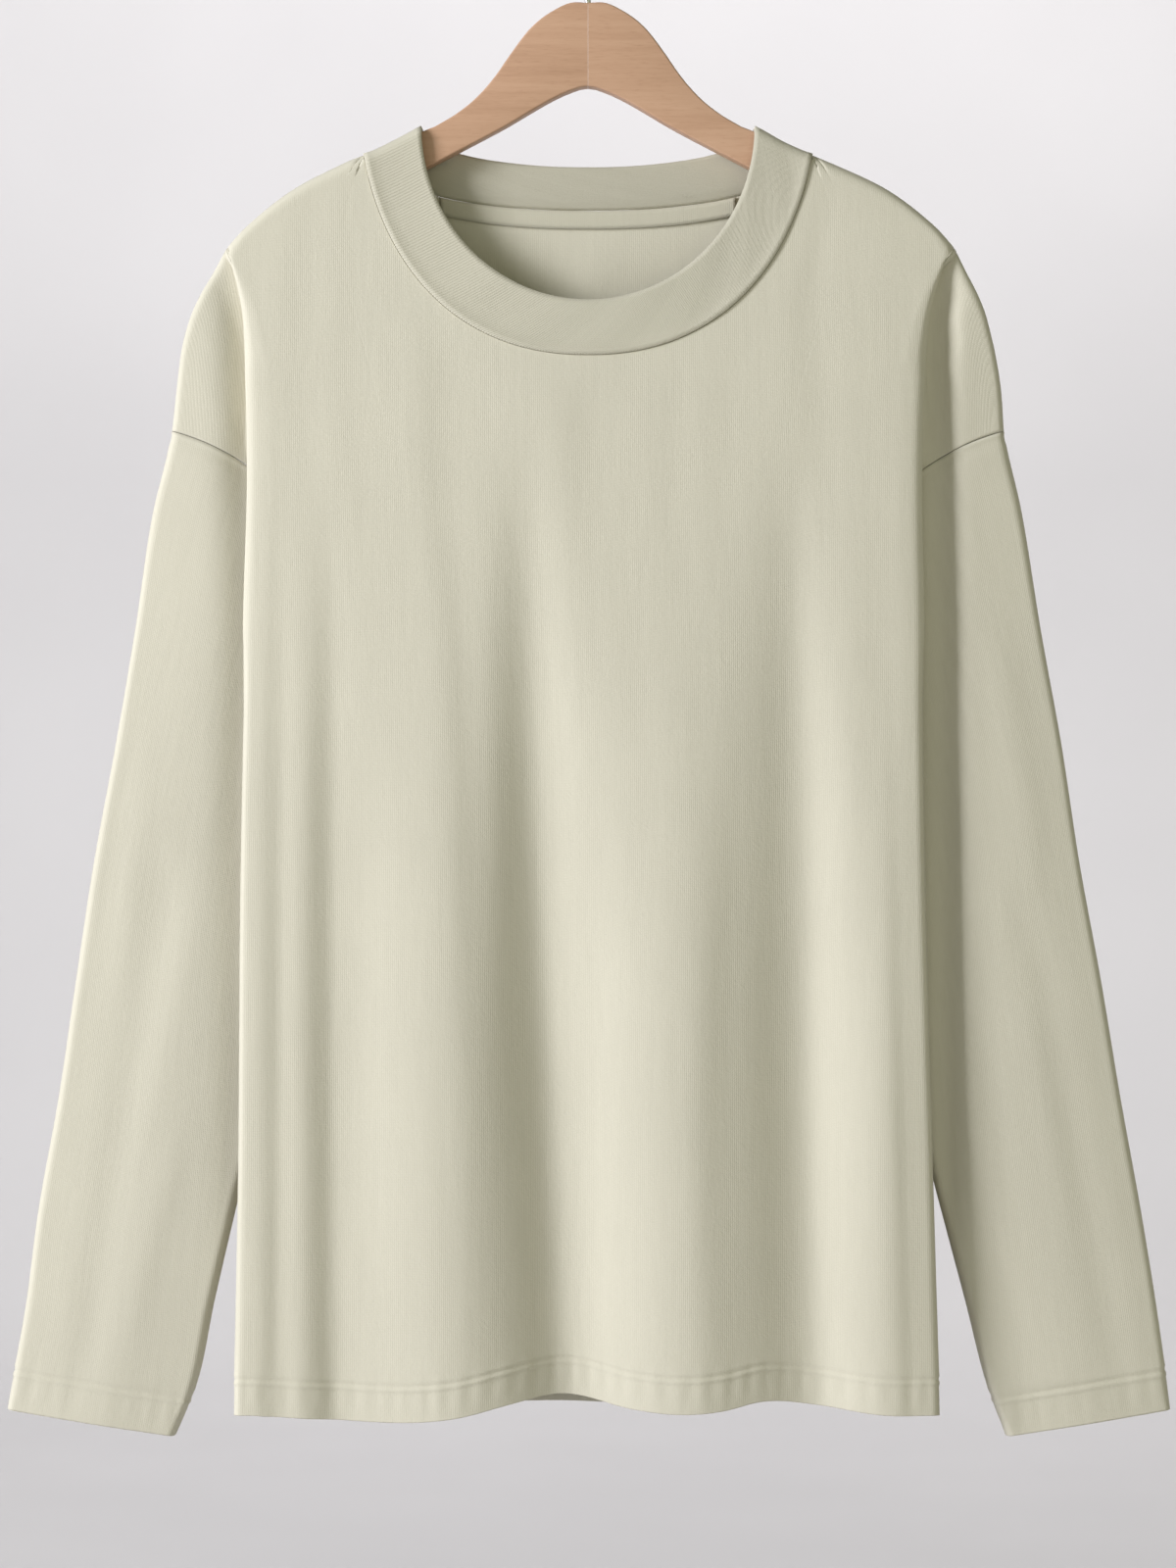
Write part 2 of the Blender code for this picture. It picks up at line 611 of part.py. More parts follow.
def collar_point(panel, side, quarter, across):
    """Place on the collar: quarter runs from a shoulder to the middle, across from seam to free edge."""
    seam = np.array(neck_line(panel, quarter))
    angle = 0.5 * math.pi * quarter
    free = np.array([RIB_HALF * math.cos(angle), RIB_TOP - RIB_DROP[panel] * math.sin(angle)])
    width = np.linalg.norm(free - seam)
    reach, height = blend(seam, free, blend(SEAM_GAP / width, 1.0, across))
    below = max(shoulder_height(reach, side) - height, 0.0)
    full = through(BODY_DEPTH, 1 if panel == "front" else 2, height)
    return np.array([SIDES[side] * reach, FACING[panel] * full * turn(below), height])


def collar_points():
    """Grid of points round the collar, in line with the columns of the panels that it is sewn to."""
    front, back = NECK_SHARES["front"], NECK_SHARES["back"]
    round_neck = [("front", "left", share) for share in front[:-1]]
    round_neck += [("front", "right", share) for share in front[:0:-1]]
    round_neck += [("back", "right", share) for share in back[:-1]]
    round_neck += [("back", "left", share) for share in back[:0:-1]]
    grid = []
    for row in range(COLLAR_ROWS + 1):
        grid.append([collar_point(*place, row / COLLAR_ROWS) for place in round_neck])
    return np.array(grid)


def tape_points():
    """Grid over the neck tape, made from the back panel's own places, moved inwards."""
    inset = 0.5 * WALL + SEAM_GAP + 0.5 * TAPE_WALL
    grid = []
    for row in (0.0, 0.5, 1.0):
        line = []
        for step in range(-TAPE_STEPS, TAPE_STEPS + 1):
            side = "left" if step < 0 else "right"
            reach, seam = neck_line("back", blend(1.0, TAPE_END, abs(step) / TAPE_STEPS))
            x = SIDES[side] * reach
            z = seam - SEAM_GAP - TAPE_DEPTH * row
            line.append((x, body_depth("back", side, x, z) - inset, z))
        grid.append(line)
    return np.array(grid)


def material(name, colour, roughness, metallic=0.0):
    made = bpy.data.materials.new(name)
    made.use_nodes = True
    shader = made.node_tree.nodes["Principled BSDF"]
    shader.inputs["Base Color"].default_value = (*colour, 1.0)
    shader.inputs["Roughness"].default_value = roughness
    shader.inputs["Metallic"].default_value = metallic
    return made


def cloth_wall(name, points, wall, made, parts, closed=False, flip=False):
    """Open sheet over a grid of points, given its wall by Solidify."""
    rows, columns = points.shape[:2]
    faces = []
    for row in range(rows - 1):
        for column in range(columns if closed else columns - 1):
            after = (column + 1) % columns
            face = [row * columns + column, row * columns + after,
                    (row + 1) * columns + after, (row + 1) * columns + column]
            faces.append(face[::-1] if flip else face)
    mesh = bpy.data.meshes.new(name)
    mesh.from_pydata([tuple(p) for p in points.reshape(-1, 3)], [], faces)
    mesh.shade_smooth()
    mesh.materials.append(made)
    sheet = bpy.data.objects.new(name, mesh)
    parts.objects.link(sheet)
    solid = sheet.modifiers.new("wall", "SOLIDIFY")
    solid.thickness = wall
    solid.offset = 0.0
    return sheet


def wood_outline():
    """Outline of one half of the hanger, round from the join to the tip and back."""
    middle = 0.5 * SEAM_GAP
    upper = [(r, through(WOOD_HEAD, 1, r)) for r in np.linspace(middle, WOOD_HEAD[-1][0], WOOD_HEAD_STEPS)]
    upper += [(r, shoulder_height(r, "left") - WOOD_CLEAR) for r in np.linspace(*WOOD_ARM)]
    tip = [(reach, upper[-1][1] - drop) for reach, drop in WOOD_END]
    lower = [(r, through(WOOD_FOOT, 1, r)) for r in np.linspace(WOOD_FOOT[-1][0], middle, WOOD_FOOT_STEPS)]
    return upper + tip + lower


def hanger_half(side, made, parts):
    """One flat half of the hanger: an outline with thickness and rounded edges."""
    sign = SIDES[side]
    outline = wood_outline()
    mesh = bpy.data.meshes.new("hanger_" + side)
    face = list(range(len(outline)))
    mesh.from_pydata([(sign * x, 0.0, z) for x, z in outline], [], [face[::int(sign)]])
    mesh.materials.append(made)
    half = bpy.data.objects.new("hanger_" + side, mesh)
    parts.objects.link(half)
    solid = half.modifiers.new("thickness", "SOLIDIFY")
    solid.thickness = WOOD_THICK
    solid.offset = 0.0
    edges = half.modifiers.new("rounded", "BEVEL")
    edges.width = WOOD_ROUND
    edges.segments = 2
    edges.limit_method = "ANGLE"
    edges.angle_limit = math.radians(60)
    return half


def hook(made, parts):
    """Question-mark hook: a shank from the wood, then an arc over the rail."""
    centre = -HOOK_INSIDE
    radius = HOOK_INSIDE + WIRE_RADIUS
    foot = WOOD_HEAD[0][1] + SEAM_GAP
    route = [(0.0, foot), (0.0, foot + SHANK_STRAIGHT)]
    route += [(reach, centre - radius + above) for reach, above in SHANK_BEND]
    for step in range(HOOK_STEPS + 1):
        angle = math.radians(blend(*HOOK_ARC, step / HOOK_STEPS))
        route.append((radius * math.cos(angle), centre + radius * math.sin(angle)))
    curve = bpy.data.curves.new("hook", "CURVE")
    curve.dimensions = "3D"
    curve.bevel_depth = WIRE_RADIUS
    curve.bevel_resolution = 2
    curve.use_fill_caps = True
    line = curve.splines.new("POLY")
    line.points.add(len(route) - 1)
    for point, (x, z) in zip(line.points, route):
        point.co = (x, 0.0, z, 1.0)
        point.radius = 1.0
    curve.materials.append(made)
    wire = bpy.data.objects.new("hook", curve)
    parts.objects.link(wire)
    return wire


def clear_scene():
    for old in list(bpy.data.objects):
        bpy.data.objects.remove(old, do_unlink=True)


def build():
    clear_scene()
    parts = bpy.data.collections.new("tshirt_on_hanger")
    bpy.context.scene.collection.children.link(parts)
    jersey = material("jersey", (0.62, 0.60, 0.48), 0.9)
    rib = material("rib", (0.58, 0.55, 0.44), 0.9)
    tape = material("tape", (0.60, 0.58, 0.46), 0.9)
    wood = material("wood", (0.50, 0.31, 0.21), 0.55)
    steel = material("steel", (0.70, 0.70, 0.70), 0.25, 1.0)
    cloth_wall("front", panel_points("front"), WALL, jersey, parts, flip=True)
    cloth_wall("back", panel_points("back"), WALL, jersey, parts)
    for side in SIDES:
        turned = side == "right"
        cloth_wall("sleeve_" + side, sleeve_points(side), WALL, jersey, parts, closed=True, flip=turned)
    cloth_wall("collar", collar_points(), COLLAR_WALL, rib, parts, closed=True)
    cloth_wall("neck_tape", tape_points(), TAPE_WALL, tape, parts)
    for side in SIDES:
        hanger_half(side, wood, parts)
    hook(steel, parts)


build()
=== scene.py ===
"""Looks of a long-sleeve t-shirt on a wooden hanger, in metres, +Z up, the front facing -Y."""

import bisect
import math

import bmesh
import bpy
import numpy as np
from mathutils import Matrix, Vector


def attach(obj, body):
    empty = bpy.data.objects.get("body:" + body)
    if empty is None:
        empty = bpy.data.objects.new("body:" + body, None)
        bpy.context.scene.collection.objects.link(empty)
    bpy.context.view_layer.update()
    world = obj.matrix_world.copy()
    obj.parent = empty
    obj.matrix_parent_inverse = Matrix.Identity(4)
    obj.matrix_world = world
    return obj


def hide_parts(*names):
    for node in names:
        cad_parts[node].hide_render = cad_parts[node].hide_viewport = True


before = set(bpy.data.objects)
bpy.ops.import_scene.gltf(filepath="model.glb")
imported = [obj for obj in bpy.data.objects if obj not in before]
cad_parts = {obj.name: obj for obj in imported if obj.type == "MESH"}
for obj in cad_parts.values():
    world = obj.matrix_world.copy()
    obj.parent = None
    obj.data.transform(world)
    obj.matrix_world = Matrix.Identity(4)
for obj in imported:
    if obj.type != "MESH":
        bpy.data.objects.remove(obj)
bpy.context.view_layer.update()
CURVES = {}              # curves through the tables, worked out once each

# Cloth
WALL = 0.0014            # jersey wall
TAPE_WALL = 0.0010
SEAM_GAP = 0.0003        # between two sewn pieces

# Body panels
EDGE_TOP = -0.199        # height where the fold at the panel's side leaves the shoulder seam
HEM = -0.8518            # front hem at its sides
BACK_HEM = -0.8530
SHOULDER_SLOPE = 0.51    # rise of the shoulder line for each metre towards the neck
SHOULDER_ROUND = 0.0065  # how far below the seam the cloth has turned down the hanger's side
ROUND_POWER = 2.5
FOLD_ROUND = 0.0055      # half width of the fold at the panel's side

# Neck
NECK_HALF = 0.126        # half width at the neck seam
NECK_TOP = -0.148        # height of the neck seam on the shoulder
NECK_DROP = {"front": 0.1137, "back": 0.029}
NECK_LEAN = math.radians(14)   # angle of the neck curve where it leaves the shoulder
NECK_POWER = 0.9
NECK_SPREAD = 0.018      # how far the panel's columns fan outwards below the shoulder point
NECK_FAN_ROW = 0.07      # row where they are furthest out
NECK_FAN_POWER = 1.5     # how fast that fan dies out towards the middle
COLUMNS_EVEN = (0.04, 0.42)    # rows over which the columns spread out evenly
RIB_HALF = 0.0935        # half width at the collar's free edge
RIB_TOP = -0.1315
RIB_DROP = {"front": 0.0985, "back": 0.021}
TAPE_END = 0.50          # share of the back neck seam, from the shoulder, where the tape ends
TAPE_DEPTH = 0.010

# Armhole and sleeve
ARM_TOP = (0.2335, -0.303)     # armhole seam at the sleeve's outer edge: reach, height
ARM_BEND = (0.150, -0.325)     # control point of the seam's curve
UNDERARM = (0.116, -0.440)
UNDERARM_ROW = -0.445          # height of the side fold level with the underarm
SLEEVE_THICK = 0.0105          # half thickness of the flattened armhole
SLEEVE_FULL = 0.0120           # half thickness further down
SLEEVE_ROUND = 0.0036          # distance from a sleeve's pressed edge over which the cloth turns
SLEEVE_TAPER = 0.055           # distance from that edge where the sleeve has its full thickness
SLEEVE_EDGE = 0.80             # share of the thickness that the turn at the edge takes
SLEEVE_THIN = 0.0020           # least half thickness away from the edges
SLEEVE_FILL = (0.05, 0.50)     # shares of its length over which it gains its full thickness
ARM_CURVE = (0.0, 0.34)        # shares of its length over which the armhole's curve dies out
SEAM_TURNS = (0.75, 1.0)       # shares of the armhole over which the seam turns edge on
CAP_FILL = (0.0, 0.5)          # shares of the shoulder's end over which it thins to a pressed edge
SEAM_LAP = 0.0055              # panel cloth that runs on past the armhole seam before it folds back
POCKET_DEPTH = 0.0165          # how far in front of the middle that folded cloth lies
POCKET_START = 0.30            # share of the armhole where the pocket is fully formed
POCKET_ROW = POCKET_START * (EDGE_TOP - UNDERARM_ROW) / (EDGE_TOP - HEM)   # row of the panel there
LAP_START = 0.4                # share of its full length that the folded-back cloth has there
LAP_FULL = 0.65                # share of the armhole where it has its full length
LAP_LIFT = 0.0045              # how far the folded-back cloth stands in front of the seam there
LAP_SETTLES = (0.15, 0.50)     # shares of the armhole over which it moves to the pocket's depth
SIDE_BLEND = (0.86, 1.10)      # shares of the armhole's height over which it gives way to the side seam
FOLD_OVER = 0.001              # how far the fold's control points stand outside it
FOLD_BACK = 0.8                # how far behind the face they lie, in half widths of the fold
GUSSET_HALFWAY = (0.45, 0.60)  # control point between side fold and side seam: share across, share in depth
GUSSET_BEHIND = (0.002, 0.001) # how far two of those points lie behind that line and behind the pocket
GUSSET_BEND = 0.008            # where the cloth bends in front of the side seam
GUSSET_STEPS = (0.0110, 0.0040)   # depths of the last two control points before the side seam
CUFF_OUTER = -0.8518
CUFF_INNER = -0.8670

# Hanger
WOOD_THICK = 0.011
WOOD_CLEAR = 0.0022            # cloth's middle surface above the wood
WIRE_RADIUS = 0.00175
HOOK_INSIDE = 0.019            # inside radius of the hook

# Outline seen from the front: height, reach at the left and at the right.
OUTLINE = (
    (-0.149, 0.130, 0.129),
    (-0.165, 0.162, 0.164),
    (-0.182, 0.185, 0.188),
    (-0.198, 0.201, 0.204),
    (-0.215, 0.211, 0.213),
    (-0.231, 0.220, 0.221),
    (-0.248, 0.226, 0.226),
    (-0.281, 0.231, 0.232),
    (-0.303, 0.2335, 0.2335),
    (-0.347, 0.244, 0.243),
    (-0.413, 0.254, 0.254),
    (-0.479, 0.265, 0.266),
    (-0.545, 0.277, 0.276),
    (-0.611, 0.287, 0.288),
    (-0.677, 0.297, 0.299),
    (-0.743, 0.309, 0.311),
    (-0.792, 0.3155, 0.319),
    (-0.852, 0.3265, 0.3275),
)

# Inner edge of the hanging sleeve: height, reach at the left and at the right.
SLEEVE_INNER = (
    (-0.440, 0.116, 0.116),
    (-0.490, 0.134, 0.134),
    (-0.556, 0.153, 0.151),
    (-0.640, 0.174, 0.173),
    (-0.728, 0.196, 0.196),
    (-0.792, 0.211, 0.213),
    (-0.842, 0.222, 0.226),
    (-0.867, 0.232, 0.235),
)

# Side fold of the body panels: height, reach at the left and at the right.
SIDE_FOLD = (
    (-0.199, 0.202, 0.203),
    (-0.236, 0.193, 0.191),
    (-0.260, 0.191, 0.188),
    (-0.323, 0.189, 0.185),
    (-0.402, 0.191, 0.186),
    (-0.556, 0.194, 0.188),
    (-0.721, 0.195, 0.1925),
    (-0.852, 0.197, 0.196),
)

# Side seam, tucked in between front and back: height, reach.
SIDE_SEAM = (
    (-0.445, 0.1135),
    (-0.556, 0.118),
    (-0.721, 0.134),
    (-0.852, 0.146),
)

# Distance of each panel from the middle plane: height, front, back.
BODY_DEPTH = (
    (-0.130, 0.0095, 0.0095),
    (-0.182, 0.0098, 0.0098),
    (-0.215, 0.0125, 0.0120),
    (-0.236, 0.0150, 0.0145),
    (-0.260, 0.0190, 0.0185),
    (-0.323, 0.0228, 0.0220),
    (-0.402, 0.0250, 0.0235),
    (-0.556, 0.0280, 0.0260),
    (-0.721, 0.0300, 0.0280),
    (-0.852, 0.0310, 0.0290),
)

# Front hem: place across, height.
FRONT_HEM = (
    (-0.200, -0.8518),
    (-0.067, -0.8518),
    (-0.047, -0.8470),
    (-0.015, -0.8420),
    (0.025, -0.8490),
    (0.052, -0.8510),
    (0.077, -0.8490),
    (0.095, -0.8452),
    (0.130, -0.8480),
    (0.165, -0.8515),
    (0.200, -0.8518),
)

# Hanging folds: place across at the start and at the end, heights of both, half width to the left and to
# the right, and depth. A positive depth is a trough and a negative one a ridge.
FOLD_COLUMNS = ("start", "end", "top", "bottom", "left", "right", "depth")
FRONT_FOLDS = (
    (-0.037, -0.011, -0.290, -0.880, 0.025, 0.034, 0.0145),
    (0.113, 0.125, -0.285, -0.880, 0.031, 0.023, 0.0110),
    (-0.143, -0.139, -0.320, -0.880, 0.013, 0.028, 0.0052),
    (-0.082, -0.071, -0.340, -0.880, 0.030, 0.016, -0.0025),
    (0.050, 0.058, -0.330, -0.880, 0.030, 0.020, -0.0022),
    (0.164, 0.167, -0.420, -0.880, 0.018, 0.016, -0.0016),
    (-0.176, -0.172, -0.270, -0.880, 0.009, 0.012, 0.0014),
)
BACK_FOLDS = (
    (-0.072, -0.092, -0.280, -0.880, 0.034, 0.026, 0.0110),
    (0.056, 0.045, -0.330, -0.880, 0.026, 0.036, 0.0125),
    (-0.012, -0.020, -0.380, -0.880, 0.028, 0.024, -0.0030),
    (0.118, 0.126, -0.430, -0.880, 0.022, 0.020, -0.0030),
    (-0.140, -0.146, -0.520, -0.880, 0.020, 0.018, -0.0025),
    (0.152, 0.149, -0.360, -0.840, 0.016, 0.014, 0.0040),
)
FOLD_NARROW = 0.55       # share of its full width that a fold has where it starts
FOLD_WIDE_AT = 0.60      # share of its length where it is at full width
FOLD_FULL_AT = 0.70      # share of its length where it is at full depth
FOLD_RISE = 1.5
FOLD_GAIN = 1.22         # how much deeper the cloth falls between its folds than its solid

# Groove beside the side fold, over the end of the shoulder and down the sleeve: height, reach at the left and
# at the right, depth at the left and at the right. At the left it lies under the fold, which hides its inner
# slope.
SIDE_GROOVE = (
    (-0.199, 0.2020, 0.2050, 0.0000, 0.0000),
    (-0.212, 0.1985, 0.2010, 0.0026, 0.0042),
    (-0.236, 0.1935, 0.1985, 0.0070, 0.0074),
    (-0.303, 0.1900, 0.1995, 0.0078, 0.0066),
    (-0.440, 0.1905, 0.2020, 0.0044, 0.0056),
    (-0.640, 0.1925, 0.2025, 0.0030, 0.0050),
    (-0.740, 0.1940, 0.2030, 0.0018, 0.0030),
    (-0.800, 0.1950, 0.2030, 0.0000, 0.0000),
)
GROOVE_DEPTHS = {"left": 3, "right": 4}
GROOVE_INNER = {"left": 0.0500, "right": 0.0080}   # half width towards the side fold
GROOVE_OUTER = {"left": 0.0125, "right": 0.0062}
FOLDS_STOP = 0.024       # distance inside the side fold where the hanging folds start to die out

# Long folds of a sleeve: share of its width at both ends, shares of its length, half width and depth.
SLEEVE_FOLD_COLUMNS = ("start", "end", "top", "bottom", "width", "depth")
SLEEVE_FOLDS = {
    "left": ((0.34, 0.38, 0.35, 1.05, 0.10, 0.0010),),
    "right": ((0.30, 0.28, 0.40, 1.05, 0.10, 0.0008),),
}
SLEEVE_FOLD_GROWS = (0.0, 0.12)   # shares of a fold's length over which it grows and dies out
SLEEVE_FOLD_ENDS = (0.75, 1.0)

# Wooden hanger: reach, height of the upper edge near the hook, where it shows above the collar.
WOOD_HEAD = (
    (0.000, -0.0620),
    (0.010, -0.0620),
    (0.018, -0.0655),
    (0.0335, -0.0775),
    (0.043, -0.0900),
    (0.052, -0.1030),
    (0.063, -0.1155),
    (0.0735, -0.1240),
    (0.086, -0.1315),
)
# Lower edge: reach, height.
WOOD_FOOT = (
    (0.000, -0.1080),
    (0.010, -0.1115),
    (0.050, -0.1335),
    (0.090, -0.1545),
    (0.130, -0.1760),
    (0.158, -0.1950),
    (0.176, -0.2110),
)
# Rounded tip below the end of the upper edge: reach, drop.
WOOD_END = (
    (0.1845, 0.0035),
    (0.1860, 0.0090),
    (0.1850, 0.0170),
    (0.1815, 0.0240),
)
WOOD_ARM = (0.100, 0.180)        # upper edge under the cloth: first and last reach

# Hook: straight part of its shank above the wood, then its bend as reach and height above the arc's foot.
SHANK_STRAIGHT = 0.010
SHANK_BEND = ((0.0030, -0.0065), (0.0095, 0.0005))
HOOK_ARC = (-48.0, 190.0)        # degrees round the rail
HOOK_STEPS = 18

BODY_ROWS = (0.0, 0.0008, 0.003, 0.0075, 0.015, 0.028, 0.046, 0.070, 0.095, 0.120, 0.150, 0.180, 0.212,
             0.245, 0.280, 0.315, 0.350, 0.385, 0.425, 0.470, 0.520, 0.575, 0.635, 0.700, 0.770, 0.840,
             0.910, 0.965, 1.0)
POCKET_COLUMNS = (0.0, 0.12, 0.24, 0.36, 0.50, 0.64, 0.78, 0.90, 0.975, 1.0)
SHOULDER_COLUMNS = 5
NECK_TURNS = (0.00022, 0.0015, 0.0040)   # distances below the shoulder where the neck seam has a column
NECK_COLUMNS = {"front": 8, "back": 6}   # even columns after those
HALVINGS = 40                            # steps of a search by halves

SIDES = {"left": -1.0, "right": 1.0}
FACING = {"front": -1.0, "back": 1.0}
SIDE_COLUMN = {"left": 1, "right": 2}      # column of a table for each side or panel
PANEL_COLUMN = {"front": 1, "back": 2}


def ease(low, high, value):
    """Rise smoothly from 0 at low to 1 at high."""
    share = np.clip((value - low) / (high - low), 0.0, 1.0)
    return share * share * (3.0 - 2.0 * share)


def blend(first, second, share):
    return first + (second - first) * share


def named(columns, rows):
    """Rows of a table with their values under the names of its columns."""
    return [dict(zip(columns, row)) for row in rows]


def table_curve(rows, column):
    """Keys, values and slopes of a table's column, worked out once."""
    key = (id(rows), column)
    if key not in CURVES:
        ordered = sorted(rows)
        keys = np.array([row[0] for row in ordered])
        data = np.array([row[column] for row in ordered])
        CURVES[key] = (keys.tolist(), data.tolist(), np.gradient(data, keys).tolist())
    return CURVES[key]


def through(rows, column, value):
    """Smooth curve through a table's column, read at a value of its first column."""
    keys, data, slopes = table_curve(rows, column)
    value = min(max(float(value), keys[0]), keys[-1])
    index = min(max(bisect.bisect_left(keys, value) - 1, 0), len(keys) - 2)
    span = keys[index + 1] - keys[index]
    t = (value - keys[index]) / span
    return (
        (2 * t**3 - 3 * t**2 + 1) * data[index]
        + (t**3 - 2 * t**2 + t) * span * slopes[index]
        + (3 * t**2 - 2 * t**3) * data[index + 1]
        + (t**3 - t**2) * span * slopes[index + 1]
    )


def shoulder_height(reach, side):
    """Height of the shoulder line at a reach from the middle."""
    if reach <= NECK_HALF:
        return NECK_TOP + (NECK_HALF - reach) * SHOULDER_SLOPE
    low, high = EDGE_TOP - 0.02, NECK_TOP
    for _ in range(HALVINGS):
        middle = 0.5 * (low + high)
        if through(OUTLINE, SIDE_COLUMN[side], middle) > reach:
            low = middle
        else:
            high = middle
    line = 0.5 * (low + high)
    first = through(OUTLINE, SIDE_COLUMN[side], OUTLINE[0][0])
    if reach < first:
        line = blend(NECK_TOP, OUTLINE[0][0], (reach - NECK_HALF) / (first - NECK_HALF))
    return line


def turn(distance, radius=SHOULDER_ROUND):
    """Share of the full depth that the cloth has reached at a distance from a folded edge."""
    share = np.clip(distance / radius, 0.0, 1.0)
    return (1.0 - (1.0 - share) ** ROUND_POWER) ** (1.0 / ROUND_POWER)


def pressed(distance):
    """Share of a sleeve's full thickness at a distance from its pressed edge."""
    taper = math.sin(0.5 * math.pi * min(max(distance, 0.0) / SLEEVE_TAPER, 1.0))
    return blend(taper, turn(distance, SLEEVE_ROUND), SLEEVE_EDGE)


def fold_depth(folds, x, z):
    """Sum of the hanging folds at a place on a panel."""
    total = 0.0
    for fold in named(FOLD_COLUMNS, folds):
        along = (fold["top"] - z) / (fold["top"] - fold["bottom"])
        middle = blend(fold["start"], fold["end"], np.clip(along, 0.0, 1.0))
        width = fold["left"] if x < middle else fold["right"]
        width *= blend(FOLD_NARROW, 1.0, ease(0.0, FOLD_WIDE_AT, along))
        across = math.exp(-((x - middle) / width) ** 2)
        grown = math.sin(0.5 * math.pi * np.clip(along / FOLD_FULL_AT, 0.0, 1.0)) ** FOLD_RISE
        total += FOLD_GAIN * fold["depth"] * across * grown
    return total


def body_depth(panel, side, x, z):
    """Distance of a body panel from the middle plane at a place seen from the front."""
    reach = abs(x)
    full = through(BODY_DEPTH, PANEL_COLUMN[panel], z)
    edge = through(SIDE_FOLD, SIDE_COLUMN[side], z)
    folds = FRONT_FOLDS if panel == "front" else BACK_FOLDS
    inner = 1.0 - ease(edge - FOLDS_STOP, edge - 2.0 * FOLD_ROUND, reach)
    depth = (full - fold_depth(folds, x, z) * inner) * turn(shoulder_height(reach, side) - z)
    return max(depth, 0.5 * SEAM_GAP)


def armhole(share):
    """Armhole seam as reach and height, with its direction towards the body."""
    weights = ((1 - share) ** 2, 2 * share * (1 - share), share ** 2)
    points = (ARM_TOP, ARM_BEND, UNDERARM)
    reach = sum(w * p[0] for w, p in zip(weights, points))
    height = sum(w * p[1] for w, p in zip(weights, points))
    along_x = blend(ARM_BEND[0] - ARM_TOP[0], UNDERARM[0] - ARM_BEND[0], share)
    along_z = blend(ARM_BEND[1] - ARM_TOP[1], UNDERARM[1] - ARM_BEND[1], share)
    length = math.hypot(along_x, along_z)
    inward = (along_z / length, -along_x / length)
    apart = 0.5 * SEAM_GAP + 0.5 * WALL * ease(*SEAM_TURNS, share)
    return reach, height, inward, apart


def from_edges(reach, height):
    """Distance of a place on the armhole from the nearer of its two ends."""
    return min(math.hypot(reach - x, height - z) for x, z in (ARM_TOP, UNDERARM))


def groove(side, reach, z):
    """How much further back the cloth lies beside the side fold."""
    beside = reach - through(SIDE_GROOVE, SIDE_COLUMN[side], z)
    width = GROOVE_INNER[side] if beside < 0.0 else GROOVE_OUTER[side]
    return through(SIDE_GROOVE, GROOVE_DEPTHS[side], z) * math.exp(-((beside / width) ** 2))


def grooved(flat, side, reach, z):
    """Half thickness of a sleeve with the groove taken out of it."""
    return max(flat - groove(side, reach, z), min(flat, SLEEVE_THIN))


def armhole_depth(side, share):
    reach, height = armhole(share)[:2]
    return grooved(SLEEVE_THICK * pressed(from_edges(reach, height)), side, reach, height)


def panel_seam(side, share):
    """Armhole edge of a body panel, as reach, depth and height."""
    reach, height, inward, apart = armhole(share)
    return np.array([reach + inward[0] * apart, armhole_depth(side, share), height + inward[1] * apart])


def spline(controls, share):
    """Clamped cubic B-spline through a row of control points."""
    controls = np.array(controls)
    count = len(controls)
    inner = count - 3
    knots = np.concatenate([np.zeros(3), np.linspace(0.0, 1.0, inner + 1), np.ones(3)])
    share = min(max(share, 0.0), 1.0 - 1e-9)
    span = int(np.searchsorted(knots, share, side="right") - 1)
    points = [controls[span - 3 + k].copy() for k in range(4)]
    for level in range(1, 4):
        for k in range(3, level - 1, -1):
            low = knots[span - 3 + k]
            high = knots[span + 1 + k - level]
            part = (share - low) / (high - low)
            points[k] = blend(points[k - 1], points[k], part)
    return points[3]


def fold_line(panel, side, row):
    """Reach, depth and height of the side fold in a row of the panel."""
    hem = HEM if panel == "front" else BACK_HEM
    z = blend(EDGE_TOP, hem, row)
    reach = through(SIDE_FOLD, SIDE_COLUMN[side], z)
    return reach, through(BODY_DEPTH, PANEL_COLUMN[panel], z), z


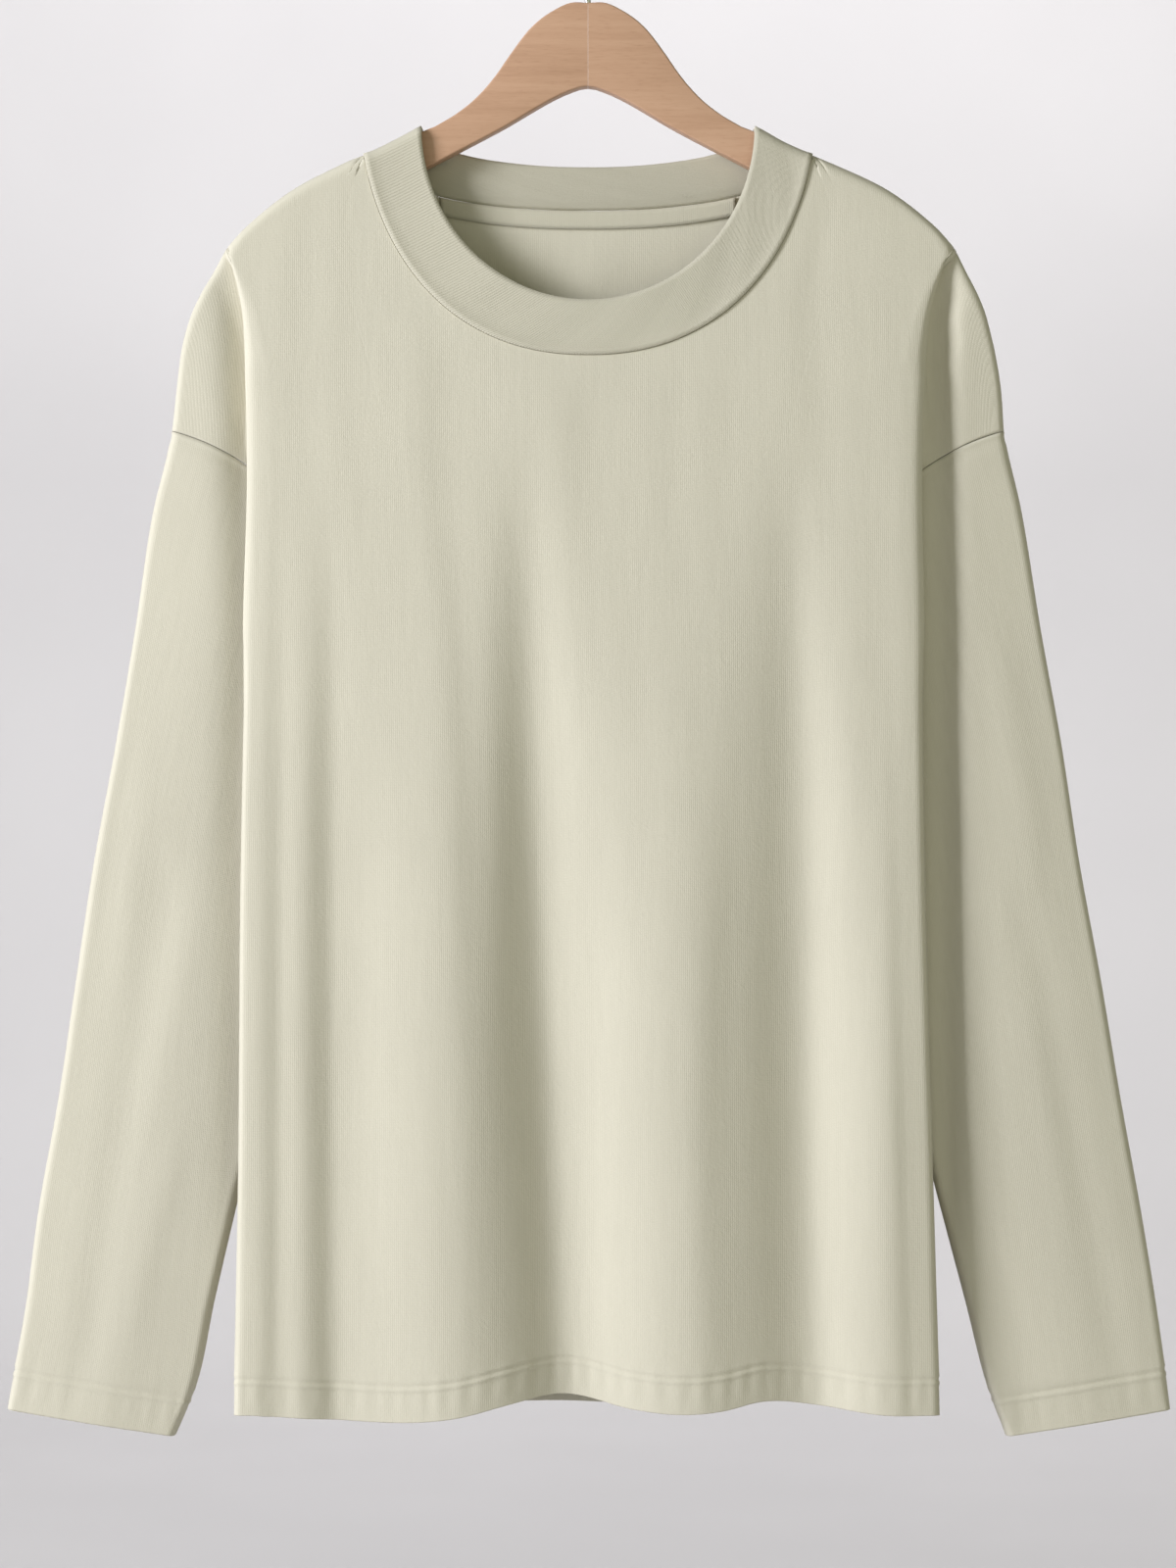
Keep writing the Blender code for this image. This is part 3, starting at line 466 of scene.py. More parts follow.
def pocket_controls(panel, side, row):
    """Control points from the panel's face, round its side fold, to the armhole or side seam."""
    reach, depth, z = fold_line(panel, side, row)
    share = (EDGE_TOP - z) / (EDGE_TOP - UNDERARM_ROW)
    arm_share = min(share, 1.0)
    inward = armhole(arm_share)[2]
    seam = panel_seam(side, arm_share)
    lap = SEAM_LAP * blend(LAP_START, 1.0, ease(POCKET_START, LAP_FULL, share))
    step = lap * np.array([inward[0], 0.0, inward[1]])
    front = min(blend(seam[1] + LAP_LIFT, POCKET_DEPTH, ease(*LAP_SETTLES, share)), depth - FOLD_ROUND)
    tip = seam + 2.0 * step
    tip_front = np.array([tip[0], front, tip[2]])
    lower = np.array([reach + FOLD_OVER, depth - FOLD_ROUND * FOLD_BACK, z])
    arm = [lower, blend(lower, tip_front, 0.5), tip_front, tip, seam + step, seam]
    side_x = through(SIDE_SEAM, 1, z)
    half = 0.5 * SEAM_GAP
    middle_x = blend(reach, side_x, GUSSET_HALFWAY[0])
    middle_y = blend(depth, POCKET_DEPTH, GUSSET_HALFWAY[1]) - GUSSET_BEHIND[0]
    beside = [
        lower,
        np.array([middle_x, middle_y, z]),
        np.array([side_x + GUSSET_BEND, POCKET_DEPTH - GUSSET_BEHIND[1], z]),
        np.array([side_x, GUSSET_STEPS[0], z]),
        np.array([side_x, GUSSET_STEPS[1], z]),
        np.array([side_x, half, z]),
    ]
    share_beside = ease(*SIDE_BLEND, share)
    rest = [blend(a, b, share_beside) for a, b in zip(arm, beside)]
    leaving = rest[-2] - rest[-1]
    flat = math.hypot(leaving[0], leaving[2]) / np.linalg.norm(leaving)
    clear = half + 0.5 * WALL * flat
    for control in rest[-2:]:
        control[1] = max(control[1], clear)
    start = [np.array([reach - 2.0 * FOLD_ROUND, depth, z]), np.array([reach + FOLD_OVER, depth, z])]
    return start + rest


def neck_line(panel, share):
    """Neck seam from the shoulder (0) to the middle (1), as reach and height."""
    angle = blend(NECK_LEAN, 0.5 * math.pi, share)
    reach = NECK_HALF * (max(math.cos(angle), 0.0) / math.cos(NECK_LEAN)) ** NECK_POWER
    start = math.sin(NECK_LEAN) ** NECK_POWER
    return reach, NECK_TOP - NECK_DROP[panel] * (math.sin(angle) ** NECK_POWER - start) / (1.0 - start)


def neck_shares(panel):
    """Shares of the neck seam that have a column, closer together where it turns over the shoulder."""
    shares = [0.0]
    for distance in NECK_TURNS:
        low, high = 0.0, 0.5
        for _ in range(HALVINGS):
            middle = 0.5 * (low + high)
            reach, height = neck_line(panel, middle)
            if shoulder_height(reach, "left") - height < distance:
                low = middle
            else:
                high = middle
        shares.append(high)
    even = NECK_COLUMNS[panel]
    return shares + [blend(shares[-1], 1.0, step / even) for step in range(1, even + 1)]


NECK_SHARES = {panel: neck_shares(panel) for panel in FACING}


def top_line(panel, side, column):
    """Panel's upper edge, column by column, from its side fold to the middle."""
    if column <= SHOULDER_COLUMNS:
        share = column / SHOULDER_COLUMNS
        start = through(OUTLINE, SIDE_COLUMN[side], EDGE_TOP)
        reach = blend(start, NECK_HALF, share)
        height = EDGE_TOP if column == 0 else shoulder_height(reach, side)
        return reach, height
    shares = NECK_SHARES[panel]
    return neck_line(panel, np.interp(column - SHOULDER_COLUMNS, range(len(shares)), shares))


def half_columns(panel):
    return SHOULDER_COLUMNS + len(NECK_SHARES[panel]) - 1


def hem_height(panel, x):
    if panel == "back":
        return BACK_HEM
    return through(FRONT_HEM, 1, x)


def face_edge(panel, side, row):
    """Reach at which a panel's face ends, beside its side fold."""
    edge = fold_line(panel, side, max(row, POCKET_ROW))[0] - 2.0 * FOLD_ROUND
    if row < POCKET_ROW:
        edge = blend(through(OUTLINE, SIDE_COLUMN[side], EDGE_TOP), edge, row / POCKET_ROW)
    return edge


def face_point(panel, side, row, column):
    """Place on the panel's face, from its side fold (column 0) to the middle."""
    columns = half_columns(panel)
    edge = face_edge(panel, side, row)
    first = top_line(panel, side, 0)[0]
    reach_top, z_top = top_line(panel, side, column)
    beside_edge = max(0.0, 1.0 - column / SHOULDER_COLUMNS)
    start = reach_top + (edge - first) * beside_edge
    off_shoulder = column / SHOULDER_COLUMNS
    if column > SHOULDER_COLUMNS:
        off_shoulder = ((columns - column) / (columns - SHOULDER_COLUMNS)) ** NECK_FAN_POWER
    fan = NECK_SPREAD * off_shoulder * (row / NECK_FAN_ROW) * math.exp(1.0 - row / NECK_FAN_ROW)
    reach = blend(start, edge * (1.0 - column / columns), ease(*COLUMNS_EVEN, row)) + fan
    x = SIDES[side] * reach
    z = blend(z_top, hem_height(panel, x), row)
    return np.array([x, FACING[panel] * body_depth(panel, side, x, z), z])


def sleeve_point(side, along, turned):
    """Place on a sleeve: along runs from the armhole to the cuff, turned once round the tube."""
    facing = -1.0 if turned <= 1.0 else 1.0
    share = 0.5 * (1.0 - math.cos(math.pi * (turned if turned <= 1.0 else 2.0 - turned)))
    outer_z = blend(ARM_TOP[1], CUFF_OUTER, along)
    inner_z = blend(UNDERARM[1], CUFF_INNER, along)
    outer = np.array([through(OUTLINE, SIDE_COLUMN[side], outer_z), outer_z])
    inner = np.array([through(SLEEVE_INNER, SIDE_COLUMN[side], inner_z), inner_z])
    place = blend(outer, inner, share)
    seam_x, seam_z, inward, apart = armhole(share)
    seam = np.array([seam_x - inward[0] * apart, seam_z - inward[1] * apart])
    straight = blend(np.array(ARM_TOP), np.array(UNDERARM), share)
    beyond = ease(*ARM_CURVE, along)
    place += (seam - straight) * (1.0 - beyond)
    across = np.linalg.norm(outer - inner) * min(share, 1.0 - share)
    edge = blend(from_edges(*seam), across, beyond)
    flat = blend(SLEEVE_THICK, SLEEVE_FULL, ease(*SLEEVE_FILL, along)) * pressed(edge)
    depth = grooved(flat, side, place[0], place[1])
    for fold in named(SLEEVE_FOLD_COLUMNS, SLEEVE_FOLDS[side]):
        part = (along - fold["top"]) / (fold["bottom"] - fold["top"])
        middle = blend(fold["start"], fold["end"], np.clip(part, 0.0, 1.0))
        across = math.exp(-((share - middle) / fold["width"]) ** 2)
        grown = ease(*SLEEVE_FOLD_GROWS, part) * (1.0 - ease(*SLEEVE_FOLD_ENDS, part))
        depth -= fold["depth"] * across * grown
    return np.array([SIDES[side] * place[0], facing * depth, place[1]])


def collar_point(panel, side, quarter, across):
    """Place on the collar: quarter runs from a shoulder to the middle, across from seam to free edge."""
    seam = np.array(neck_line(panel, quarter))
    angle = 0.5 * math.pi * quarter
    free = np.array([RIB_HALF * math.cos(angle), RIB_TOP - RIB_DROP[panel] * math.sin(angle)])
    width = np.linalg.norm(free - seam)
    reach, height = blend(seam, free, blend(SEAM_GAP / width, 1.0, across))
    below = max(shoulder_height(reach, side) - height, 0.0)
    full = through(BODY_DEPTH, PANEL_COLUMN[panel], height)
    return np.array([SIDES[side] * reach, FACING[panel] * full * turn(below), height])


# Fine grids of the cloth
SHELL_WALL = 0.0012
COLLAR_SHELL = 0.0019
TAPE_SHELL = 0.0010
STEP_DOWN = 0.0042        # spacing of a panel's points down its length
STEP_ACROSS = 0.0034
STEP_HEM = 0.0010         # closer spacing over the hems
HEM_ZONE = 0.027
SLEEVE_STEPS_DOWN = 120
SLEEVE_STEPS_ROUND = 72
CUFF_STEPS = 26
CUFF_ZONE = 0.028         # closer rows over the cuff
SLEEVE_ROW_POWER = 1.15   # above 1, rows stand closer together near the armhole
SLEEVE_LENGTH = 0.555     # rounded sizes of a sleeve, on which its creases are laid out
SLEEVE_WIDTH = 0.14
CREASE_EDGE = 0.12        # share of the width, from a sleeve's edge, where its creases are full
CUFF_SHIFT = 0.004        # start of the puckers round the cuff
COLLAR_STEPS = 12
COLLAR_COLUMNS = 84       # in a quarter of the neck
COLLAR_COLUMN_POWER = 1.25     # above 1, columns stand closer together near the shoulder
COLLAR_ROUND = (0.0035, 0.0009)        # rolled cloth beside the neck seam: width, height
COLLAR_HOLLOW = 0.0004    # how far the rib sinks in between its edges
COLLAR_WAVE = (0.0095, 0.0262, 0.00022)   # unevenness along it: two lengths over two pi, height
TAPE_COLUMNS = 60
TAPE_ROWS = 4
ROUGHER = 1

# Sewing
HEM_DEPTH = 0.0225
CUFF_DEPTH = 0.0250
HEM_RAISE = 0.00045       # how far the turned-up hem stands out
NEEDLES = {"hem": (0.0180, 0.0222), "cuff": (0.0200, 0.0247), "neck": (0.0027,)}
NEEDLE_DEPTH = 0.00055     # how far the thread pulls the cloth in
NEEDLE_WIDTH = 0.0011
NECK_NEEDLE_DEPTH = 0.7 * NEEDLE_DEPTH
NECK_NEEDLE_WIDTH = 0.0008
SEAM_RAISE = 0.0007       # seam allowance under the panel beside the neck seam
SEAM_RAISE_AT = 0.0033
SEAM_RAISE_WIDTH = 0.0022
STITCH_LONG = 0.0023
STITCH_PITCH = 0.0031
STITCH_RADIUS = 0.00030
STITCH_RINGS = (-1.0, -0.72, 0.72, 1.0)
STITCH_SWELL = (0.15, 1.0, 1.0, 0.15)
STITCH_SIDES = 6
STITCH_SINK = 0.9         # how far a stitch's ends sink into the cloth, in radii of the thread
NECK_STITCH_STEPS = 60
NECK_STITCH_FROM = 0.003  # depth behind which the panel has no place for a neck stitch
NECK_STITCH_CLEAR = (0.0015, 0.004)    # stretch beside the shoulder without stitches: reach, height
NEAREST = 6               # points of the cloth that give a stitch its depth
TINY = 1e-8
HEM_STEP = (-0.0004, 0.0016)   # stretch beyond the hem's depth over which the cloth steps down again
PUCKER = 0.00022
PUCKER_LONG = 0.0115
PUCKER_AT = 0.72          # share of the first needle's distance where the hem puckers most
PUCKER_WIDE = 0.42        # width of that, as a share of the hem's depth
PUCKER_WANDER = (1.4, 61.0)    # how far and how quickly the puckers' spacing changes
ARM_SEAM = (0.0035, 0.0025, 0.0006)    # rolled cloth below the armhole seam: distance, width, height

# Soft creases on the body: place across and height at both ends, bow to the side, half width, depth.
# A positive depth is a trough and a negative one a ridge.
CREASE_COLUMNS = ("x0", "z0", "x1", "z1", "bow", "width", "depth")
CREASES = {
    "front": (
        (-0.150, -0.250, -0.165, -0.420, 0.004, 0.010, 0.0010),
        (-0.163, -0.330, -0.156, -0.560, -0.002, 0.007, 0.0007),
        (-0.143, -0.330, -0.138, -0.440, 0.002, 0.008, 0.0005),
        (-0.132, -0.450, -0.134, -0.640, 0.002, 0.008, -0.0005),
        (-0.181, -0.300, -0.184, -0.780, 0.001, 0.0045, -0.0006),
        (0.150, -0.245, 0.160, -0.400, -0.003, 0.012, 0.0008),
        (0.132, -0.330, 0.128, -0.520, 0.002, 0.010, 0.0005),
        (0.170, -0.320, 0.166, -0.640, 0.002, 0.007, 0.0007),
        (-0.010, -0.640, -0.004, -0.840, 0.002, 0.008, 0.0005),
        (0.062, -0.560, 0.070, -0.830, -0.003, 0.009, 0.0005),
        (-0.0545, -0.400, -0.0535, -0.870, 0.000, 0.0040, -0.0007),
        (-0.082, -0.520, -0.078, -0.850, 0.003, 0.010, 0.0005),
        (0.124, -0.640, 0.127, -0.850, 0.002, 0.008, 0.0005),
    ),
    "back": (
        (-0.150, -0.240, -0.158, -0.420, 0.004, 0.011, 0.0009),
        (0.148, -0.240, 0.160, -0.430, -0.004, 0.012, 0.0010),
        (-0.166, -0.320, -0.163, -0.600, 0.002, 0.008, 0.0007),
        (0.172, -0.340, 0.170, -0.560, -0.002, 0.007, 0.0007),
        (-0.036, -0.520, -0.040, -0.840, 0.003, 0.010, 0.0005),
        (0.094, -0.560, 0.098, -0.850, -0.002, 0.009, 0.0006),
        (0.012, -0.460, 0.008, -0.700, 0.002, 0.009, 0.0005),
        (-0.118, -0.500, -0.122, -0.760, -0.002, 0.009, 0.0005),
    ),
}

# Soft creases on a sleeve: face (-1 front, 1 back), share across and share of its length at both ends, half
# width, depth.
SLEEVE_CREASE_COLUMNS = ("face", "s0", "a0", "s1", "a1", "width", "depth")
SLEEVE_CREASES = {
    "left": (
        (-1, 0.30, 0.00, 0.42, 0.20, 0.012, 0.0007),
        (-1, 0.76, 0.04, 0.84, 0.46, 0.008, 0.0008),
        (-1, 0.50, 0.40, 0.46, 0.74, 0.010, 0.0005),
        (-1, 0.16, 0.30, 0.22, 0.56, 0.009, 0.0005),
        (-1, 0.66, 0.62, 0.58, 0.92, 0.009, 0.0004),
        (-1, 0.90, 0.10, 0.93, 0.50, 0.006, -0.0005),
        (1, 0.34, 0.02, 0.44, 0.30, 0.012, 0.0008),
        (1, 0.70, 0.10, 0.80, 0.52, 0.009, 0.0007),
        (1, 0.30, 0.50, 0.34, 0.88, 0.010, 0.0005),
    ),
    "right": (
        (-1, 0.42, 0.00, 0.50, 0.18, 0.010, 0.0007),
        (-1, 0.86, 0.06, 0.88, 0.55, 0.007, 0.0007),
        (-1, 0.20, 0.16, 0.22, 0.50, 0.010, 0.0005),
        (-1, 0.36, 0.45, 0.40, 0.80, 0.009, 0.0005),
        (-1, 0.74, 0.55, 0.70, 0.90, 0.008, 0.0004),
        (1, 0.28, 0.02, 0.40, 0.26, 0.012, 0.0008),
        (1, 0.74, 0.08, 0.82, 0.50, 0.009, 0.0008),
        (1, 0.44, 0.46, 0.36, 0.86, 0.010, 0.0005),
    ),
}

# Low unevenness of all the cloth: waves with a length across and down, a start, a lean and a height.
SWELL_COLUMNS = ("across", "down", "start", "lean", "height")
SWELLS = (
    (0.067, 1.270, 0.30, 0.7, 0.00020),
    (0.041, 0.910, 1.90, -0.8, 0.00012),
    (0.093, 0.730, 4.10, 0.6, 0.00022),
    (0.026, 0.840, 2.60, -0.6, 0.00005),
)
SWELL_WARP = 0.005
SWELL_WARP_LONG = 0.470
SWELL_WARP_START = 0.7
SWELL_SHIFT = {"front": 0.0, "back": 0.3, "left": 0.5, "right": 0.9}   # so that no two pieces are alike
SWELL_SIDE = 0.030        # distance from a panel's side edges where the waves have their full height
SLEEVE_SWELL = 0.8        # their height on a sleeve
FACE_TURN = (0.2, 0.8)    # how squarely the cloth faces outwards where its creases start and are full
FACE_FROM = 0.006         # depth behind which a panel's cloth has no creases
PANEL_TOP = (0.002, 0.040)     # distances below a panel's top where its creases start and are full
SLEEVE_TOP = (0.001, 0.030)    # the same below a sleeve's armhole
CREASE_STARTS = (-0.12, 0.30)  # shares of a crease's length over which it grows
CREASE_ENDS = (0.62, 1.12)     # shares over which it dies out

# Knit
WALE = {"jersey": 0.0011, "rib": 0.0016}         # width of one column of loops
COURSE = {"jersey": 0.0009, "rib": 0.0011}       # height of one row of loops
LOOP_LEAN = 0.6                                  # how far a loop leans from its middle to its sides, in rows
LOOP_SHARE = {"jersey": 0.3, "rib": 0.12}        # height of the loops against that of their columns
LOOP_BUMP = {"jersey": 0.00016, "rib": 0.00028}
FUZZ_NOISE = (620.0, 3.0, 0.6)                   # scale, detail, roughness
FUZZ_BUMP = 0.00035
SLUB_STRETCH = (260.0, 26.0, 1.0)                # uneven thickness of the yarn, long down the cloth
SLUB_NOISE = (1.0, 2.0, 0.55)
SLUB_BUMP = (0.22, 0.00040)                      # strength, height
PATCH_NOISE = (9.0, 2.0, 0.5)                    # broad unevenness of colour
TONE_MIX = (0.55, 0.45)                          # shares of the patches and of the yarn in the colour
TONES = ((0.30, 0.965), (0.52, 1.0), (0.74, 1.03))


def inserted(values):
    """Values with each interval's middle put in."""
    made = []
    for first, second in zip(values, values[1:]):
        made += [first, 0.5 * (first + second)]
    return made + [values[-1]]


# Pocket between a side fold and its sleeve, as it shows
POCKET_DROP = (0.03, 1.35)   # control point beside the fold: shares of the way to the lap, in reach and depth
FOLD_ACROSS = 0.36           # place across a row where the cloth has fallen all the way beside the fold
FOLD_ALONG = 0.035           # share of the cap's outline that this part of the row takes up
FOLD_FOLLOWS = 0.15          # share of the rows above the pocket over which they come to lie along the fold
FOLD_LEAVES = 0.75           # place across a row beyond which they no longer do
POCKET_MEETS = 0.86          # share of the rows above the pocket from which they take its form


def dropped_controls(panel, side, row):
    """Control points of a row, with the cloth falling steeply beside the side fold."""
    controls = pocket_controls(panel, side, row)
    share = (EDGE_TOP - fold_line(panel, side, row)[2]) / (EDGE_TOP - UNDERARM_ROW)
    across, back = POCKET_DROP
    dropped = blend(controls[2], controls[4], np.array([across, back, across]))
    controls[3] = blend(dropped, controls[3], ease(*SIDE_BLEND, share))
    return controls


def pocket_point(panel, side, row, across):
    """Place on the folded side of a panel, where the rows lie along the side fold before they leave it."""
    if row >= POCKET_ROW:
        return spline(dropped_controls(panel, side, row), across)
    share = row / POCKET_ROW
    column = SIDE_COLUMN[side]
    formed = dropped_controls(panel, side, POCKET_ROW)

    def placed(place):
        outline = np.interp(place, (0.0, FOLD_ACROSS, 1.0), (0.0, FOLD_ALONG, 1.0))
        height = blend(EDGE_TOP, ARM_TOP[1], outline)
        full = spline(formed, place)
        return blend(np.array([through(OUTLINE, column, height), 0.0, height]), full, share), full

    point, full = placed(across)
    near, near_full = placed(min(across, FOLD_ACROSS))
    beside = near_full[0] - through(SIDE_FOLD, column, near_full[2])
    wanted = through(SIDE_FOLD, column, near[2]) + share * beside
    follows = ease(0.0, FOLD_FOLLOWS, share) * (1.0 - ease(FOLD_ACROSS, FOLD_LEAVES, across))
    seam = panel_seam(side, POCKET_START * share)
    straight = blend(np.array([ARM_TOP[0], 0.0, ARM_TOP[1]]), formed[-1], share)
    point += (seam - straight) * across ** 3
    point[0] += (wanted - near[0]) * follows
    below = row * (EDGE_TOP - HEM)
    face = through(BODY_DEPTH, PANEL_COLUMN[panel], point[2])
    face *= turn(below, blend(SHOULDER_ROUND, SLEEVE_ROUND, across))
    flat = SLEEVE_THICK * blend(turn(below), pressed(below), ease(*CAP_FILL, across))
    cap = grooved(flat, side, point[0], point[2])
    fallen = (formed[0][1] - near_full[1]) / (formed[0][1] - spline(formed, FOLD_ACROSS)[1])
    depth = blend(blend(face, cap, min(max(fallen, 0.0), 1.0)), seam[1], across ** 3)
    shallower = fold_line(panel, side, row)[1] / fold_line(panel, side, POCKET_ROW)[1]
    depth = blend(depth, full[1] * shallower, ease(POCKET_MEETS, 1.0, share))
    return np.array([point[0], max(depth, 0.5 * SEAM_GAP), point[2]])


def half_grid(panel):
    """Grid over a body panel like the frame's own, with twice its rows and columns."""
    columns = half_columns(panel)
    grid = []
    for row in inserted(BODY_ROWS):
        line = {}
        for side, sign in SIDES.items():
            folded = []
            for across in reversed(inserted(POCKET_COLUMNS)):
                point = pocket_point(panel, side, row, across)
                folded.append((sign * point[0], FACING[panel] * point[1], point[2]))
            face = [tuple(face_point(panel, side, row, 0.5 * c)) for c in range(1, 2 * columns)]
            line[side] = folded + face
        middle = tuple(face_point(panel, "left", row, columns))
        grid.append(line["left"] + [middle] + line["right"][::-1])
    return np.array(grid)


def curve_between(points, places):
    """Smooth curve through points along the first axis, read at fractional places."""
    last = len(points) - 1
    index = np.clip(places.astype(int), 0, last - 1)
    t = (places - index).reshape((-1,) + (1,) * (points.ndim - 1))
    before = points[np.maximum(index - 1, 0)]
    first, second = points[index], points[index + 1]
    after = points[np.minimum(index + 2, last)]
    return 0.5 * (
        2 * first + (second - before) * t
        + (2 * before - 5 * first + 4 * second - after) * t**2
        + (3 * first - before - 3 * second + after) * t**3
    )


def finer_places(points, step, zone=0.0, zone_step=None):
    """Fractional places along the first axis at about one spacing, closer in a zone at the end."""
    spans = np.linalg.norm(np.diff(points, axis=0), axis=2).mean(axis=1)
    left = np.append(np.cumsum(spans[::-1])[::-1], 0.0)
    places = []
    for index, span in enumerate(spans):
        wanted = zone_step if zone_step and left[index + 1] < zone else step
        count = max(1, math.ceil(span / wanted))
        places += [index + k / count for k in range(count)]
    return np.array(places + [len(points) - 1.0])


def normals_of(grid, closed=False):
    """Unit directions square to a grid's surface."""
    wide = np.concatenate([grid[:, -1:], grid, grid[:, :1]], axis=1) if closed else grid
    down = np.gradient(wide, axis=0)
    across = np.gradient(wide, axis=1)
    square = np.cross(across, down)
    if closed:
        square = square[:, 1:-1]
    return square / np.maximum(np.linalg.norm(square, axis=2, keepdims=True), 1e-12)


def wrapped(grid):
    """Grid of a tube with its first column again after its last."""
    return np.concatenate([grid, grid[:, :1]], axis=1)


def lengths_along(grid, axis, leave=()):
    """Arc length from the start of an axis at every point of a grid, some directions left out."""
    steps = np.diff(grid, axis=axis)
    steps[:, :, list(leave)] = 0.0
    steps = np.linalg.norm(steps, axis=2)
    start = np.zeros_like(np.take(steps, [0], axis=axis))
    return np.concatenate([start, np.cumsum(steps, axis=axis)], axis=axis)


def crease(x, z, fold):
    """Soft trough beside a bowed line, fading at both ends."""
    ahead = np.array([fold["x1"] - fold["x0"], fold["z1"] - fold["z0"]])
    length = np.linalg.norm(ahead)
    ahead /= length
    along = ((x - fold["x0"]) * ahead[0] + (z - fold["z0"]) * ahead[1]) / length
    beside = (x - fold["x0"]) * -ahead[1] + (z - fold["z0"]) * ahead[0]
    beside = beside - fold["bow"] * 4.0 * along * (1.0 - along)
    fade = ease(*CREASE_STARTS, along) * (1.0 - ease(*CREASE_ENDS, along))
    return fold["depth"] * np.exp(-((beside / fold["width"]) ** 2)) * fade


def swell(across, down):
    """Low unevenness at places on flat cloth."""
    warped = across + SWELL_WARP * np.sin(2 * math.pi * down / SWELL_WARP_LONG + SWELL_WARP_START)
    total = np.zeros_like(across)
    for wave in named(SWELL_COLUMNS, SWELLS):
        phase = 2 * math.pi * down / wave["down"] + wave["start"]
        total += wave["height"] * np.sin(2 * math.pi * warped / wave["across"] + wave["lean"] * np.sin(phase))
    return total


def sewn_band(from_edge, along, depth, needles):
    """Height of a turned-up hem with its grooves at the needle lines."""
    raised = HEM_RAISE * (1.0 - ease(depth + HEM_STEP[0], depth + HEM_STEP[1], from_edge))
    for at in needles:
        raised -= NEEDLE_DEPTH * np.exp(-(((from_edge - at) / NEEDLE_WIDTH) ** 2))
    between = np.exp(-(((from_edge - needles[0] * PUCKER_AT) / (depth * PUCKER_WIDE)) ** 2))
    pull = np.sin(2 * math.pi * along / PUCKER_LONG + PUCKER_WANDER[0] * np.sin(along * PUCKER_WANDER[1]))
    return raised + PUCKER * pull * between


def polyline_distance(x, z, line):
    """Distance of places from a line of points."""
    best = np.full(x.shape, 1e9)
    for (x0, z0), (x1, z1) in zip(line, line[1:]):
        dx, dz = x1 - x0, z1 - z0
        t = np.clip(((x - x0) * dx + (z - z0) * dz) / (dx * dx + dz * dz), 0.0, 1.0)
        best = np.minimum(best, np.hypot(x - x0 - t * dx, z - z0 - t * dz))
    return best


def neck_outline(panel, steps=90):
    reach = [neck_line(panel, step / steps) for step in range(steps + 1)]
    left = [(-r, z) for r, z in reach]
    return left + [(r, z) for r, z in reach[::-1]]


def fine_panel(panel):
    """Displaced fine grid over a body panel, with its outward normals and arc lengths."""
    base = half_grid(panel)
    rows = finer_places(base, STEP_DOWN * ROUGHER, HEM_ZONE, STEP_HEM * ROUGHER)
    grid = curve_between(base, rows)
    columns = finer_places(grid.transpose(1, 0, 2), STEP_ACROSS * ROUGHER)
    grid = curve_between(grid.transpose(1, 0, 2), columns).transpose(1, 0, 2)
    normals = normals_of(grid) * (-FACING[panel])
    across = lengths_along(grid, 1, leave=(2,))
    across -= across[:, across.shape[1] // 2][:, None]
    down = lengths_along(grid, 0)
    from_hem = down[-1] - down
    x, z = grid[:, :, 0], grid[:, :, 2]
    facing = ease(*FACE_TURN, normals[:, :, 1] * FACING[panel])
    on_face = facing * (grid[:, :, 1] * FACING[panel] > FACE_FROM)
    near_top = ease(*PANEL_TOP, down)
    near_side = ease(0.0, SWELL_SIDE, across - across[:, :1])
    near_side = near_side * ease(0.0, SWELL_SIDE, across[:, -1:] - across)
    moved = swell(across, down + SWELL_SHIFT[panel]) * near_top * near_side
    for fold in named(CREASE_COLUMNS, CREASES[panel]):
        moved -= crease(x, z, fold) * on_face * near_top
    moved += sewn_band(from_hem, across, HEM_DEPTH, NEEDLES["hem"])
    neck = polyline_distance(x, z, neck_outline(panel))
    moved += SEAM_RAISE * np.exp(-(((neck - SEAM_RAISE_AT) / SEAM_RAISE_WIDTH) ** 2)) * on_face
    moved -= NECK_NEEDLE_DEPTH * np.exp(-(((neck - NEEDLES["neck"][0]) / NECK_NEEDLE_WIDTH) ** 2)) * on_face
    grid = grid + normals * moved[:, :, None]
    level = lengths_along(grid, 0, leave=(0,))
    return grid, normals_of(grid) * (-FACING[panel]), across, level - level[-1] + down[-1].max()


